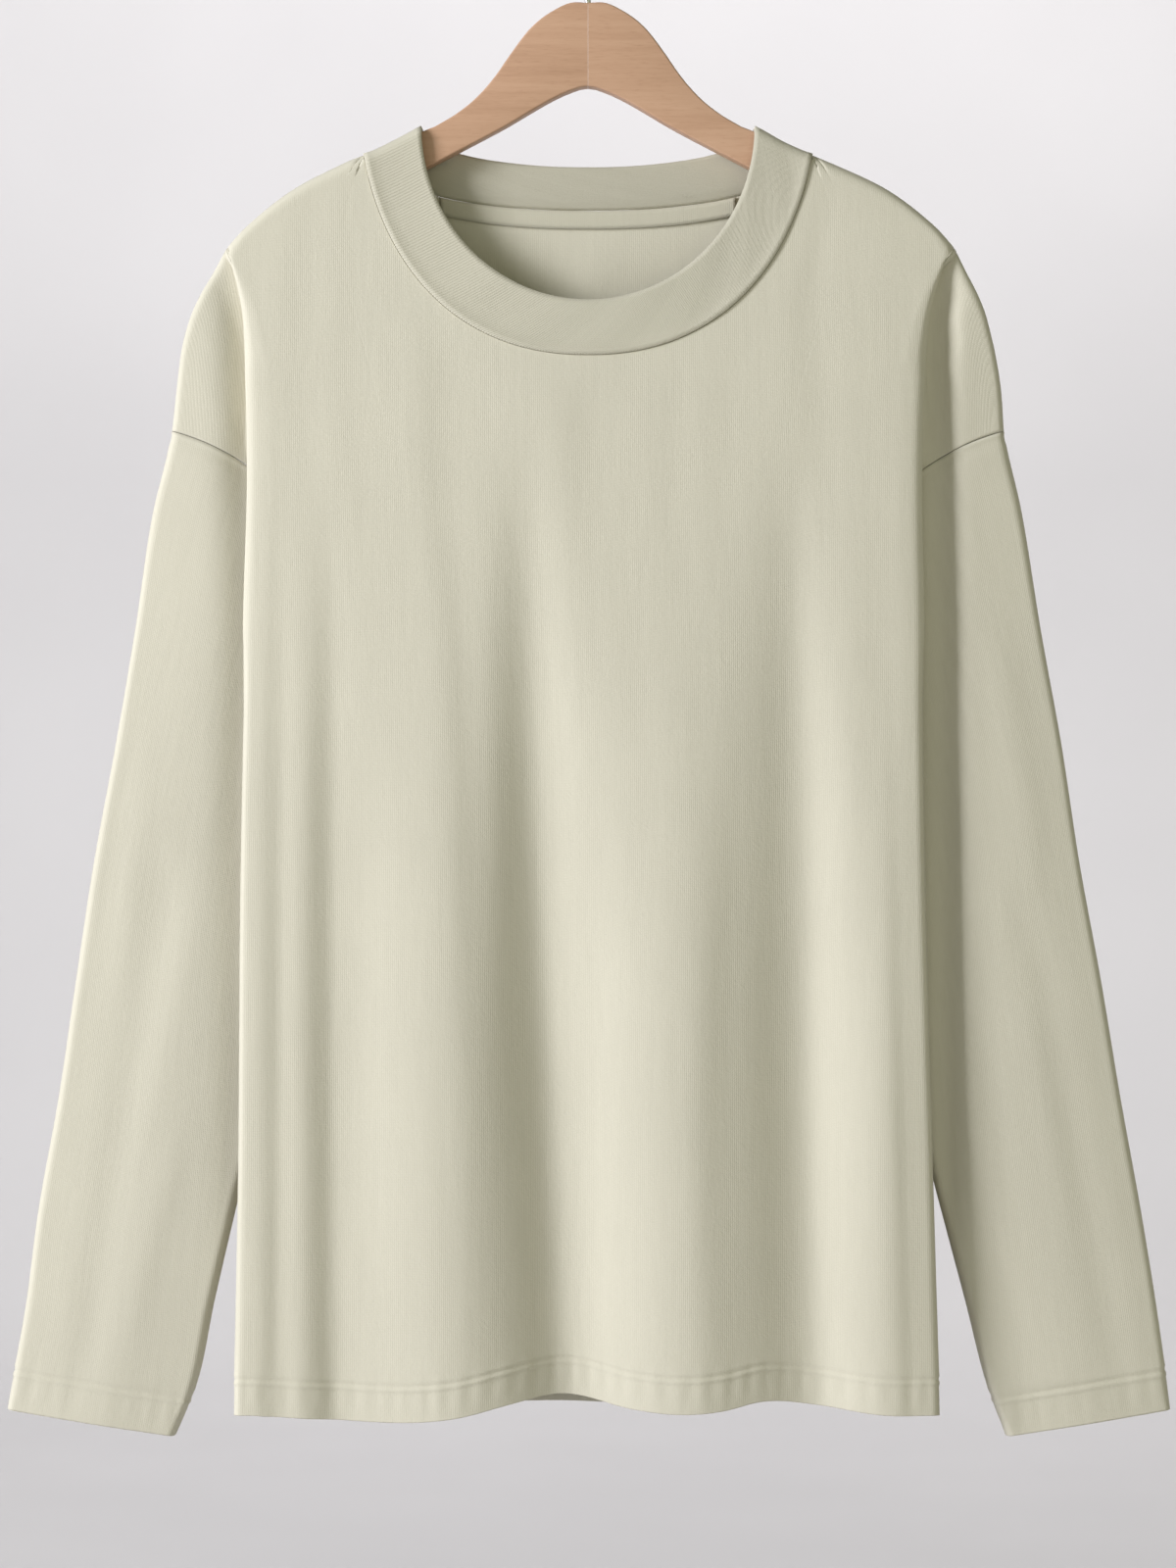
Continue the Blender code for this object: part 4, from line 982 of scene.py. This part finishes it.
def fine_sleeve(side):
    """Displaced fine grid round a sleeve, with its outward normals and arc lengths."""
    near_cuff = 1.0 - CUFF_ZONE / SLEEVE_LENGTH
    steps_down = SLEEVE_STEPS_DOWN // ROUGHER
    rows = [near_cuff * (k / steps_down) ** SLEEVE_ROW_POWER for k in range(steps_down)]
    rows += list(np.linspace(near_cuff, 1.0, CUFF_STEPS // ROUGHER + 1))
    round_steps = SLEEVE_STEPS_ROUND // ROUGHER
    turns = np.array([2.0 * k / round_steps for k in range(round_steps)])
    grid = np.array([[sleeve_point(side, along, turned) for turned in turns] for along in rows])
    outward = -SIDES[side]
    normals = normals_of(grid, closed=True) * outward
    across = lengths_along(wrapped(grid), 1)[:, :-1]
    down = lengths_along(grid, 0)
    from_cuff = down[-1] - down
    share = 0.5 * (1.0 - np.cos(math.pi * np.where(turns <= 1.0, turns, 2.0 - turns)))
    share = np.broadcast_to(share, down.shape)
    face = np.where(turns <= 1.0, -1, 1)
    near_top = ease(*SLEEVE_TOP, down)
    near_edge = ease(0.0, CREASE_EDGE, share) * ease(0.0, CREASE_EDGE, 1.0 - share)
    moved = swell(across, down + SWELL_SHIFT[side]) * near_top * SLEEVE_SWELL
    run = np.broadcast_to(np.array(rows)[:, None] * SLEEVE_LENGTH, share.shape)
    for fold in named(SLEEVE_CREASE_COLUMNS, SLEEVE_CREASES[side]):
        flat = {"x0": fold["s0"] * SLEEVE_WIDTH, "z0": fold["a0"] * SLEEVE_LENGTH,
                "x1": fold["s1"] * SLEEVE_WIDTH, "z1": fold["a1"] * SLEEVE_LENGTH,
                "bow": 0.0, "width": fold["width"], "depth": fold["depth"]}
        trough = crease(share * SLEEVE_WIDTH, run, flat)
        moved -= trough * (face == fold["face"]) * near_edge * near_top
    moved += sewn_band(from_cuff, across + CUFF_SHIFT, CUFF_DEPTH, NEEDLES["cuff"])
    moved += ARM_SEAM[2] * np.exp(-(((down - ARM_SEAM[0]) / ARM_SEAM[1]) ** 2))
    grid = grid + normals * moved[:, :, None]
    return grid, normals_of(grid, closed=True) * outward, across, down


def fine_collar():
    """Fine grid round the collar with its arc lengths."""
    count = COLLAR_COLUMNS // ROUGHER
    shares = [(k / count) ** COLLAR_COLUMN_POWER for k in range(count + 1)]
    round_neck = [("front", "left", s) for s in shares[:-1]]
    round_neck += [("front", "right", s) for s in shares[:0:-1]]
    round_neck += [("back", "right", s) for s in shares[:-1]]
    round_neck += [("back", "left", s) for s in shares[:0:-1]]
    rows = np.linspace(0.0, 1.0, COLLAR_STEPS + 1)
    grid = np.array([[collar_point(*place, row) for place in round_neck] for row in rows])
    normals = normals_of(grid, closed=True)
    down = lengths_along(grid, 0)
    width = down[-1]
    across = lengths_along(wrapped(grid), 1)[:, :-1]
    rounded = COLLAR_ROUND[1] * np.exp(-((down / COLLAR_ROUND[0]) ** 2))
    facing = np.sign(grid[:, :, 1:2])
    outward = normals * np.sign((normals[:, :, 1:2] * facing).mean())
    lift = rounded - COLLAR_HOLLOW * np.sin(math.pi * down / width)
    short, long, height = COLLAR_WAVE
    lift = lift + height * np.sin(across / short) * np.sin(across / long + 1.0)
    return grid + outward * lift[:, :, None], across, down


def fine_tape():
    inset = 0.5 * WALL + SEAM_GAP + 0.5 * TAPE_WALL
    grid = []
    for row in np.linspace(0.0, 1.0, TAPE_ROWS + 1):
        line = []
        for place in np.linspace(-1.0, 1.0, TAPE_COLUMNS + 1):
            side = "left" if place < 0 else "right"
            reach, seam = neck_line("back", blend(1.0, TAPE_END, abs(place)))
            x = SIDES[side] * reach
            z = seam - SEAM_GAP - TAPE_DEPTH * row
            line.append((x, body_depth("back", side, x, z) - inset, z))
        grid.append(line)
    return np.array(grid)


def added(name, data):
    """New object in the scene."""
    piece = bpy.data.objects.new(name, data)
    bpy.context.scene.collection.objects.link(piece)
    return piece


def smooth_mesh(name, points, faces, made):
    """New smooth mesh of one material."""
    mesh = bpy.data.meshes.new(name)
    mesh.from_pydata(points, [], faces)
    mesh.shade_smooth()
    mesh.materials.append(made)
    return mesh


def cloth_mesh(name, grid, across, down, wall, made, outward_first, closed=False):
    """Thin closed shell over a fine grid, with its place on the flat cloth as a UV map."""
    rows, columns = grid.shape[:2]
    after = np.roll(np.arange(columns), -1)
    steps = np.arange(columns if closed else columns - 1)
    top, left = np.meshgrid(np.arange(rows - 1), steps, indexing="ij")
    right = after[left]
    faces = np.stack([top * columns + left, top * columns + right,
                      (top + 1) * columns + right, (top + 1) * columns + left], axis=2).reshape(-1, 4)
    if not outward_first:
        faces = faces[:, ::-1]
    mesh = smooth_mesh(name, grid.reshape(-1, 3).tolist(), faces.tolist(), made)
    flat = np.stack([across, down], axis=2).reshape(-1, 2)
    corner = np.empty(len(mesh.loops), int)
    mesh.loops.foreach_get("vertex_index", corner)
    places = flat[corner]
    if closed:
        whole = across.max(axis=1) + (across[:, 1] - across[:, 0])
        row = corner // columns
        seam = (corner % columns == 0) & (np.repeat(np.tile(steps, rows - 1), 4) == columns - 1)
        places[seam, 0] += whole[row[seam]]
    layer = mesh.uv_layers.new(name="weave")
    layer.data.foreach_set("uv", places.astype(np.float32).ravel())
    sheet = added(name, mesh)
    solid = sheet.modifiers.new("wall", "SOLIDIFY")
    solid.thickness = wall
    solid.offset = 0.0
    return sheet


def line_from_end(grid, normals, distance):
    """Points and normals at an arc length from the grid's last row, column by column."""
    up = grid[::-1]
    length = lengths_along(up, 0)

    def read(values):
        return np.array([[np.interp(distance, length[:, column], values[:, column, k]) for k in range(3)]
                         for column in range(grid.shape[1])])

    return read(up), read(normals[::-1])


def stitch_row(points, normals, raise_by, closed=False):
    """Places, directions and normals of stitches at even steps along a line."""
    if closed:
        points, normals = np.vstack([points, points[:1]]), np.vstack([normals, normals[:1]])
    length = np.concatenate([[0.0], np.cumsum(np.linalg.norm(np.diff(points, axis=0), axis=1))])
    made = []
    count = int(length[-1] / STITCH_PITCH)

    def read(values, at):
        return np.array([np.interp(at, length, values[:, axis]) for axis in range(3)])

    for k in range(count):
        start = (k + 0.5) * length[-1] / count - 0.5 * STITCH_LONG
        square = read(normals, start)
        square /= np.linalg.norm(square)
        raised = square * raise_by
        made.append((read(points, start) + raised, read(points, start + STITCH_LONG) + raised, square))
    return made


def stitches(name, rows, made):
    """One mesh of small rounded threads, each lying along its line."""
    points, faces = [], []
    for first, second, square in rows:
        ahead = second - first
        half = 0.5 * np.linalg.norm(ahead)
        ahead /= 2.0 * half
        beside = np.cross(ahead, square)
        start = len(points)
        for place, swell_here in zip(STITCH_RINGS, STITCH_SWELL):
            centre = 0.5 * (first + second) + ahead * place * half
            sink = -STITCH_RADIUS * (STITCH_SINK if abs(place) == 1.0 else 0.0)
            for k in range(STITCH_SIDES):
                angle = 2 * math.pi * k / STITCH_SIDES
                offset = beside * math.cos(angle) + square * math.sin(angle)
                points.append(centre + offset * STITCH_RADIUS * swell_here + square * sink)
        for ring in range(len(STITCH_RINGS) - 1):
            for k in range(STITCH_SIDES):
                a, b = start + ring * STITCH_SIDES + k, start + ring * STITCH_SIDES + (k + 1) % STITCH_SIDES
                faces.append((a, a + STITCH_SIDES, b + STITCH_SIDES, b))
        last = start + (len(STITCH_RINGS) - 1) * STITCH_SIDES
        faces.append(tuple(start + k for k in range(STITCH_SIDES)))
        faces.append(tuple(last + k for k in reversed(range(STITCH_SIDES))))
    return added(name, smooth_mesh(name, [tuple(p) for p in points], faces, made))


# Materials
JERSEY = (0.635, 0.607, 0.515)
RIB = (0.580, 0.554, 0.465)
TAPE = (0.575, 0.550, 0.460)
THREAD = (0.600, 0.572, 0.478)
COTTON = {"Roughness": 0.93, "Metallic": 0.0, "Sheen Weight": 0.06, "Sheen Roughness": 0.55,
          "Specular IOR Level": 0.18}
VARNISH = {"Roughness": 0.48, "Metallic": 0.0, "Specular IOR Level": 0.35}
PLATING = {"Roughness": 0.2, "Metallic": 1.0}
PAINT = {"Roughness": 0.9, "Metallic": 0.0}
BEECH = ((0.28, (0.455, 0.268, 0.172)), (0.50, (0.540, 0.332, 0.222)), (0.72, (0.600, 0.385, 0.265)))
CHROME = ((0.3, (0.56, 0.56, 0.57)), (0.7, (0.72, 0.72, 0.73)))
STAGE_PAINT = ((0.3, (0.595, 0.585, 0.60)), (0.7, (0.625, 0.615, 0.63)))


class Nodes:
    """Short ways to add and join shader nodes."""

    def __init__(self, name, settings):
        self.material = bpy.data.materials.new(name)
        self.material.use_nodes = True
        self.tree = self.material.node_tree
        self.shader = self.tree.nodes["Principled BSDF"]
        for socket, value in settings.items():
            self.shader.inputs[socket].default_value = value

    def add(self, kind, **settings):
        node = self.tree.nodes.new(kind)
        for key, value in settings.items():
            setattr(node, key, value)
        return node

    def join(self, source, target):
        self.tree.links.new(source, target)

    def value(self, operation, first, second=None):
        node = self.add("ShaderNodeMath", operation=operation)
        for socket, given in zip(node.inputs, (first, second)):
            if given is None:
                continue
            if isinstance(given, (int, float)):
                socket.default_value = given
            else:
                self.join(given, socket)
        return node.outputs[0]

    def noise(self, vector, scale, detail=2.0, roughness=0.5):
        node = self.add("ShaderNodeTexNoise")
        node.inputs["Scale"].default_value = scale
        node.inputs["Detail"].default_value = detail
        node.inputs["Roughness"].default_value = roughness
        self.join(vector, node.inputs["Vector"])
        return node.outputs["Fac"]

    def stretched(self, source, scale, rotation=(0.0, 0.0, 0.0), location=(0.0, 0.0, 0.0)):
        node = self.add("ShaderNodeMapping")
        node.inputs["Scale"].default_value = scale
        node.inputs["Rotation"].default_value = rotation
        node.inputs["Location"].default_value = location
        self.join(source, node.inputs["Vector"])
        return node.outputs["Vector"]

    def ramp(self, factor, stops):
        node = self.add("ShaderNodeValToRGB")
        elements = node.color_ramp.elements
        while len(elements) < len(stops):
            elements.new(0.5)
        for element, (place, colour) in zip(elements, stops):
            element.position = place
            element.color = (*colour, 1.0)
        self.join(factor, node.inputs["Fac"])
        return node.outputs["Color"]

    def bump(self, height, strength, distance, before=None):
        node = self.add("ShaderNodeBump")
        node.inputs["Strength"].default_value = strength
        node.inputs["Distance"].default_value = distance
        self.join(height, node.inputs["Height"])
        if before is not None:
            self.join(before, node.inputs["Normal"])
        return node.outputs["Normal"]


def tinted(colour, share):
    return tuple(channel * share for channel in colour)


def knit(name, colour, loop_strength, fuzz, kind="jersey"):
    """Knitted cotton: columns of leaning loops under a soft fuzz, with a slight unevenness of colour."""
    made = Nodes(name, COTTON)
    weave = made.add("ShaderNodeUVMap", uv_map="weave").outputs["UV"]
    parts = made.add("ShaderNodeSeparateXYZ")
    made.join(weave, parts.inputs[0])
    across, down = parts.outputs["X"], parts.outputs["Y"]
    column = made.value("FRACT", made.value("DIVIDE", across, WALE[kind]))
    side = made.value("MULTIPLY", made.value("ABSOLUTE", made.value("SUBTRACT", column, 0.5)), 2.0)
    leaning = made.value("MULTIPLY", side, LOOP_LEAN)
    phase = made.value("ADD", made.value("DIVIDE", down, COURSE[kind]), leaning)
    loops = made.value("SINE", made.value("MULTIPLY", phase, 2.0 * math.pi))
    gutter = made.value("POWER", side, 2.0)
    height = made.value("SUBTRACT", made.value("MULTIPLY", loops, LOOP_SHARE[kind]), gutter)
    normal = made.bump(height, loop_strength, LOOP_BUMP[kind])
    place = made.add("ShaderNodeTexCoord").outputs["Object"]
    normal = made.bump(made.noise(place, *FUZZ_NOISE), fuzz, FUZZ_BUMP, normal)
    slub = made.noise(made.stretched(weave, SLUB_STRETCH), *SLUB_NOISE)
    normal = made.bump(slub, *SLUB_BUMP, normal)
    made.join(normal, made.shader.inputs["Normal"])
    patches = made.value("MULTIPLY", made.noise(place, *PATCH_NOISE), TONE_MIX[0])
    grains = made.value("ADD", patches, made.value("MULTIPLY", slub, TONE_MIX[1]))
    tone = made.ramp(grains, [(at, tinted(colour, share)) for at, share in TONES])
    made.join(tone, made.shader.inputs["Base Color"])
    return made.material


def beech(name, lean, shift):
    """Pale beech with fine grain along the arm."""
    made = Nodes(name, VARNISH)
    place = made.add("ShaderNodeTexCoord").outputs["Object"]
    broad, fine, flecks = (made.noise(made.stretched(place, scale, (0.0, lean, 0.0), shift), *noise)
                           for scale, noise in GRAIN_LAYERS)
    layers = [made.value("MULTIPLY", layer, share) for layer, share in zip((broad, fine), GRAIN_MIX)]
    dark = made.value("MULTIPLY", made.value("POWER", flecks, FLECK_POWER), FLECK_DARK)
    mixed = made.value("SUBTRACT", made.value("ADD", *layers), dark)
    tone = made.ramp(mixed, BEECH)
    made.join(tone, made.shader.inputs["Base Color"])
    made.join(made.bump(fine, *GRAIN_BUMP), made.shader.inputs["Normal"])
    return made.material


def polished_wire():
    made = Nodes("hook_chrome", PLATING)
    place = made.add("ShaderNodeTexCoord").outputs["Object"]
    marks = made.noise(made.stretched(place, DRAWN_MARKS), 1.0)
    tone = made.ramp(marks, CHROME)
    made.join(tone, made.shader.inputs["Base Color"])
    made.join(made.bump(marks, *DRAWN_BUMP), made.shader.inputs["Normal"])
    return made.material


def plain_stage():
    made = Nodes("stage_paint", PAINT)
    place = made.add("ShaderNodeTexCoord").outputs["Object"]
    tone = made.ramp(made.noise(place, 2.0), STAGE_PAINT)
    made.join(tone, made.shader.inputs["Base Color"])
    return made.material


# Hanger
WOOD_STEPS = {"head": 34, "arm": 26, "foot": 40}   # places along each part of the outline
TIP_STEPS = 16
TIP_TRIM = 0.2            # share of a step that the tip's curve leaves out at both ends
HOOK_POINTS = 110
# Grain from broad to fine: stretch over the wood, and the noise's scale, detail and roughness.
GRAIN_LAYERS = (
    ((7.0, 60.0, 95.0), (0.55, 3.0, 0.55)),
    ((22.0, 300.0, 420.0), (1.0, 3.0, 0.6)),
    ((180.0, 900.0, 1300.0), (1.0, 1.0, 0.4)),
)
GRAIN_MIX = (0.6, 0.4)    # shares of the broad and of the fine grain in the colour
GRAIN_BUMP = (0.18, 0.0003)    # strength, height
FLECK_POWER = 6.0         # above 1, flecks are fewer and sharper
FLECK_DARK = 0.7
DRAWN_MARKS = (900.0, 900.0, 120.0)    # marks along the wire: stretch over it
DRAWN_BUMP = (0.12, 0.0001)
BEVEL_FROM = 60           # degrees of turn at which an edge of the wood is rounded
SHARP_FROM = 40           # degrees of turn at which its shading breaks
GRAIN = {"left": (-31, (0.2, 0.0, 0.4)), "right": (24, (1.7, 0.3, 2.9))}   # lean in degrees, and start
JOIN_GAP = 0.0001         # between the two halves
WOOD_EDGE = 0.0030
WOOD_EDGE_STEPS = 5


def wood_edge():
    """Outline of one half of the hanger like the frame's own, with more points."""
    upper = [(r, through(WOOD_HEAD, 1, r)) for r in np.linspace(0.0, WOOD_HEAD[-1][0], WOOD_STEPS["head"])]
    upper += [(r, shoulder_height(r, "left") - WOOD_CLEAR) for r in np.linspace(*WOOD_ARM, WOOD_STEPS["arm"])]
    lower = [(r, through(WOOD_FOOT, 1, r)) for r in np.linspace(WOOD_FOOT[-1][0], 0.0, WOOD_STEPS["foot"])]
    tip = [upper[-1]] + [(reach, upper[-1][1] - drop) for reach, drop in WOOD_END] + [lower[0]]
    tip = curve_between(np.array(tip), np.linspace(TIP_TRIM, len(tip) - 1.0 - TIP_TRIM, TIP_STEPS))
    return upper + [tuple(p) for p in tip] + lower


def wooden_half(side, made):
    """One half of the hanger, cut off square where it meets the other."""
    sign = SIDES[side]
    outline = wood_edge()
    past = 2.0 * WOOD_EDGE
    outline = [(-past, outline[0][1])] + outline[1:-1] + [(-past, outline[-1][1])]
    mesh = bpy.data.meshes.new("wood_outline_" + side)
    face = list(range(len(outline)))
    mesh.from_pydata([(sign * x, 0.0, z) for x, z in outline], [], [face[::int(sign)]])
    rough = added("wood_outline_" + side, mesh)
    solid = rough.modifiers.new("thickness", "SOLIDIFY")
    solid.thickness = WOOD_THICK
    solid.offset = 0.0
    edges = rough.modifiers.new("rounded", "BEVEL")
    edges.width = WOOD_EDGE
    edges.segments = WOOD_EDGE_STEPS
    edges.limit_method = "ANGLE"
    edges.angle_limit = math.radians(BEVEL_FROM)
    bpy.context.view_layer.update()
    cut = bmesh.new()
    cut.from_mesh(rough.evaluated_get(bpy.context.evaluated_depsgraph_get()).to_mesh())
    bpy.data.objects.remove(rough)
    middle = Vector((sign * 0.5 * JOIN_GAP, 0.0, 0.0))
    everything = cut.verts[:] + cut.edges[:] + cut.faces[:]
    outwards = Vector((-sign, 0.0, 0.0))
    made_cut = bmesh.ops.bisect_plane(cut, geom=everything, plane_co=middle, plane_no=outwards,
                                      clear_outer=True)
    rim = [e for e in made_cut["geom_cut"] if isinstance(e, bmesh.types.BMEdge)]
    bmesh.ops.edgeloop_fill(cut, edges=rim)
    bmesh.ops.recalc_face_normals(cut, faces=cut.faces[:])
    final = bpy.data.meshes.new("wood_" + side)
    cut.to_mesh(final)
    cut.free()
    final.shade_smooth()
    final.set_sharp_from_angle(angle=math.radians(SHARP_FROM))
    final.materials.append(made)
    return added("wood_" + side, final)


def wire_hook(made):
    """Question-mark hook on the frame's own route, with rounder curves."""
    centre = -HOOK_INSIDE
    radius = HOOK_INSIDE + WIRE_RADIUS
    foot = WOOD_HEAD[0][1] + SEAM_GAP
    controls = [(0.0, foot), (0.0, foot + SHANK_STRAIGHT)]
    controls += [(reach, centre - radius + above) for reach, above in SHANK_BEND]
    for step in range(HOOK_STEPS + 1):
        angle = math.radians(blend(*HOOK_ARC, step / HOOK_STEPS))
        controls.append((radius * math.cos(angle), centre + radius * math.sin(angle)))
    route = curve_between(np.array(controls), np.linspace(0.0, len(controls) - 1, HOOK_POINTS))
    curve = bpy.data.curves.new("hook_wire", "CURVE")
    curve.dimensions = "3D"
    curve.bevel_depth = WIRE_RADIUS
    curve.bevel_resolution = 5
    curve.use_fill_caps = True
    line = curve.splines.new("POLY")
    line.points.add(len(route) - 1)
    for point, (x, z) in zip(line.points, route):
        point.co = (x, 0.0, z, 1.0)
    line.use_smooth = True
    curve.materials.append(made)
    return added("hook_wire", curve)


# Pieces
def seam_thread(grid, normals, needles, closed=False):
    """Stitches along the needle lines of a hem or a cuff."""
    rows = []
    for distance in needles:
        points, squares = line_from_end(grid, normals, distance)
        rows += stitch_row(points, squares, 0.5 * SHELL_WALL, closed)
    return rows


def build_panel(panel, jersey, thread):
    grid, normals, across, down = fine_panel(panel)
    body = cloth_mesh("cloth_" + panel, grid, across, down, SHELL_WALL, jersey, panel == "back")
    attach(body, "root")
    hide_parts(panel)
    made = [hem_thread("stitch_hem_" + panel, seam_thread(grid, normals, NEEDLES["hem"]), thread),
            hem_thread("stitch_neck_" + panel, neck_stitches(panel, grid, normals), thread)]


def build_sleeve(side, jersey, thread):
    grid, normals, across, down = fine_sleeve(side)
    tube = cloth_mesh("cloth_sleeve_" + side, grid, across, down, SHELL_WALL, jersey, side == "left",
                      closed=True)
    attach(tube, "root")
    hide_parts("sleeve_" + side)
    rows = seam_thread(grid, normals, NEEDLES["cuff"], closed=True)
    made = [hem_thread("stitch_cuff_" + side, rows, thread)]


def build_collar(rib):
    grid, across, down = fine_collar()
    outward_first = bool((normals_of(grid, closed=True)[:, :, 1] * grid[:, :, 1]).sum() < 0)
    ring = cloth_mesh("cloth_collar", grid, across, down, COLLAR_SHELL, rib, outward_first, closed=True)
    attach(ring, "root")
    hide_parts("collar")


def build_tape(tape):
    grid = fine_tape()
    across, down = lengths_along(grid, 1), lengths_along(grid, 0)
    band = cloth_mesh("cloth_tape", grid, across, down, TAPE_SHELL, tape, True)
    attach(band, "root")
    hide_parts("neck_tape")


def build_cloth():
    jersey = knit("jersey_knit", JERSEY, loop_strength=0.35, fuzz=0.35)
    rib = knit("rib_knit", RIB, loop_strength=0.55, fuzz=0.4, kind="rib")
    tape = knit("tape_knit", TAPE, loop_strength=0.4, fuzz=0.35)
    thread = knit("thread_cotton", THREAD, loop_strength=0.0, fuzz=0.3)
    for panel in FACING:
        build_panel(panel, jersey, thread)
    for side in SIDES:
        build_sleeve(side, jersey, thread)
    build_collar(rib)
    build_tape(tape)


def neck_stitches(panel, grid, normals):
    """Topstitching on the panel beside the neck seam."""
    x, z = grid[:, :, 0].ravel(), grid[:, :, 2].ravel()
    depth, squares = grid[:, :, 1].ravel(), normals.reshape(-1, 3)
    keep = depth * FACING[panel] > NECK_STITCH_FROM
    x, z, depth, squares = x[keep], z[keep], depth[keep], squares[keep]
    outline = np.array(neck_outline(panel, NECK_STITCH_STEPS))
    along = np.gradient(outline, axis=0)
    out = np.stack([along[:, 1], -along[:, 0]], axis=1)
    out /= np.linalg.norm(out, axis=1, keepdims=True)
    out *= np.sign(np.sum(out * (outline - np.array([0.0, NECK_TOP])), axis=1).mean())
    placed = outline + out * NEEDLES["neck"][0]
    points, facing = [], []
    for px, pz in placed:
        if abs(px) > NECK_HALF - NECK_STITCH_CLEAR[0] and pz > NECK_TOP - NECK_STITCH_CLEAR[1]:
            continue
        distance = (x - px) ** 2 + (z - pz) ** 2
        near = np.argsort(distance)[:NEAREST]
        weight = 1.0 / (distance[near] + TINY)
        weight /= weight.sum()
        points.append((px, float(weight @ depth[near]), pz))
        facing.append(weight @ squares[near])
    return stitch_row(np.array(points), np.array(facing), 0.5 * SHELL_WALL)


def hem_thread(name, rows, made):
    thread = stitches(name, rows, made)
    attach(thread, "root")
    return thread


def build_hanger():
    for side, (lean, shift) in GRAIN.items():
        half = wooden_half(side, beech("beech_" + side, math.radians(lean), shift))
        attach(half, "root")
        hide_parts("hanger_" + side)
    wire = wire_hook(polished_wire())
    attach(wire, "root")
    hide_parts("hook")


# Stage, light and camera
FLOOR = -1.25
WALL_BACK = 3.6
STAGE_HALF = 6.0
STAGE_TOP = 3.0
COVE = 1.2
COVE_STEPS = 10
CAMERA = (0.0, -2.2, -0.501)
LENS = 89.7
MIDDLE = (0.0, 0.0, -0.5)
# Lamps: name, place, aim, size, power in watts, colour.
LAMPS = (
    ("key", (-2.96, -1.71, 0.50), MIDDLE, (1.2, 1.8), 148.0, (0.975, 0.98, 1.0)),
    ("fill", (0.6, -3.2, -0.1), MIDDLE, (2.6, 2.6), 12.0, (1.0, 1.0, 0.55)),
    ("side", (2.7, -0.7, -0.2), MIDDLE, (1.6, 2.2), 5.0, (1.0, 1.0, 0.55)),
    ("wall", (0.25, 2.15, 1.55), (0.2, WALL_BACK, -1.1), (3.8, 0.9), 56.0, (1.0, 0.98, 0.99)),
)
WORLD_COLOUR = (0.95, 0.96, 0.86, 1.0)
WORLD_STRENGTH = 0.22


def build_stage():
    profile = [(-STAGE_HALF, FLOOR)]
    for step in range(COVE_STEPS + 1):
        angle = 0.5 * math.pi * step / COVE_STEPS
        profile.append((WALL_BACK - COVE + COVE * math.sin(angle), FLOOR + COVE - COVE * math.cos(angle)))
    profile.append((WALL_BACK, STAGE_TOP))
    points = [(side * STAGE_HALF, y, z) for y, z in profile for side in (-1.0, 1.0)]
    faces = [(2 * k, 2 * k + 1, 2 * k + 3, 2 * k + 2) for k in range(len(profile) - 1)]
    backdrop = added("backdrop", smooth_mesh("backdrop", points, faces, plain_stage()))


def area_light(name, place, aim, size, power, colour):
    lamp = bpy.data.lights.new(name, "AREA")
    lamp.shape = "RECTANGLE"
    lamp.size, lamp.size_y = size
    lamp.energy = power
    lamp.color = colour
    light = added(name, lamp)
    light.location = place
    light.rotation_euler = (Vector(aim) - Vector(place)).to_track_quat("-Z", "Y").to_euler()


def build_light():
    for lamp in LAMPS:
        area_light(*lamp)
    world = bpy.data.worlds.new("studio")
    world.use_nodes = True
    background = world.node_tree.nodes["Background"]
    background.inputs["Color"].default_value = WORLD_COLOUR
    background.inputs["Strength"].default_value = WORLD_STRENGTH
    bpy.context.scene.world = world


def build_camera():
    lens = bpy.data.cameras.new("camera")
    lens.lens = LENS
    camera = added("camera", lens)
    camera.location = CAMERA
    camera.rotation_euler = (math.radians(90), 0.0, 0.0)
    bpy.context.scene.camera = camera


bpy.context.scene.view_settings.view_transform = "Standard"
build_cloth()
build_hanger()
build_stage()
build_light()
build_camera()
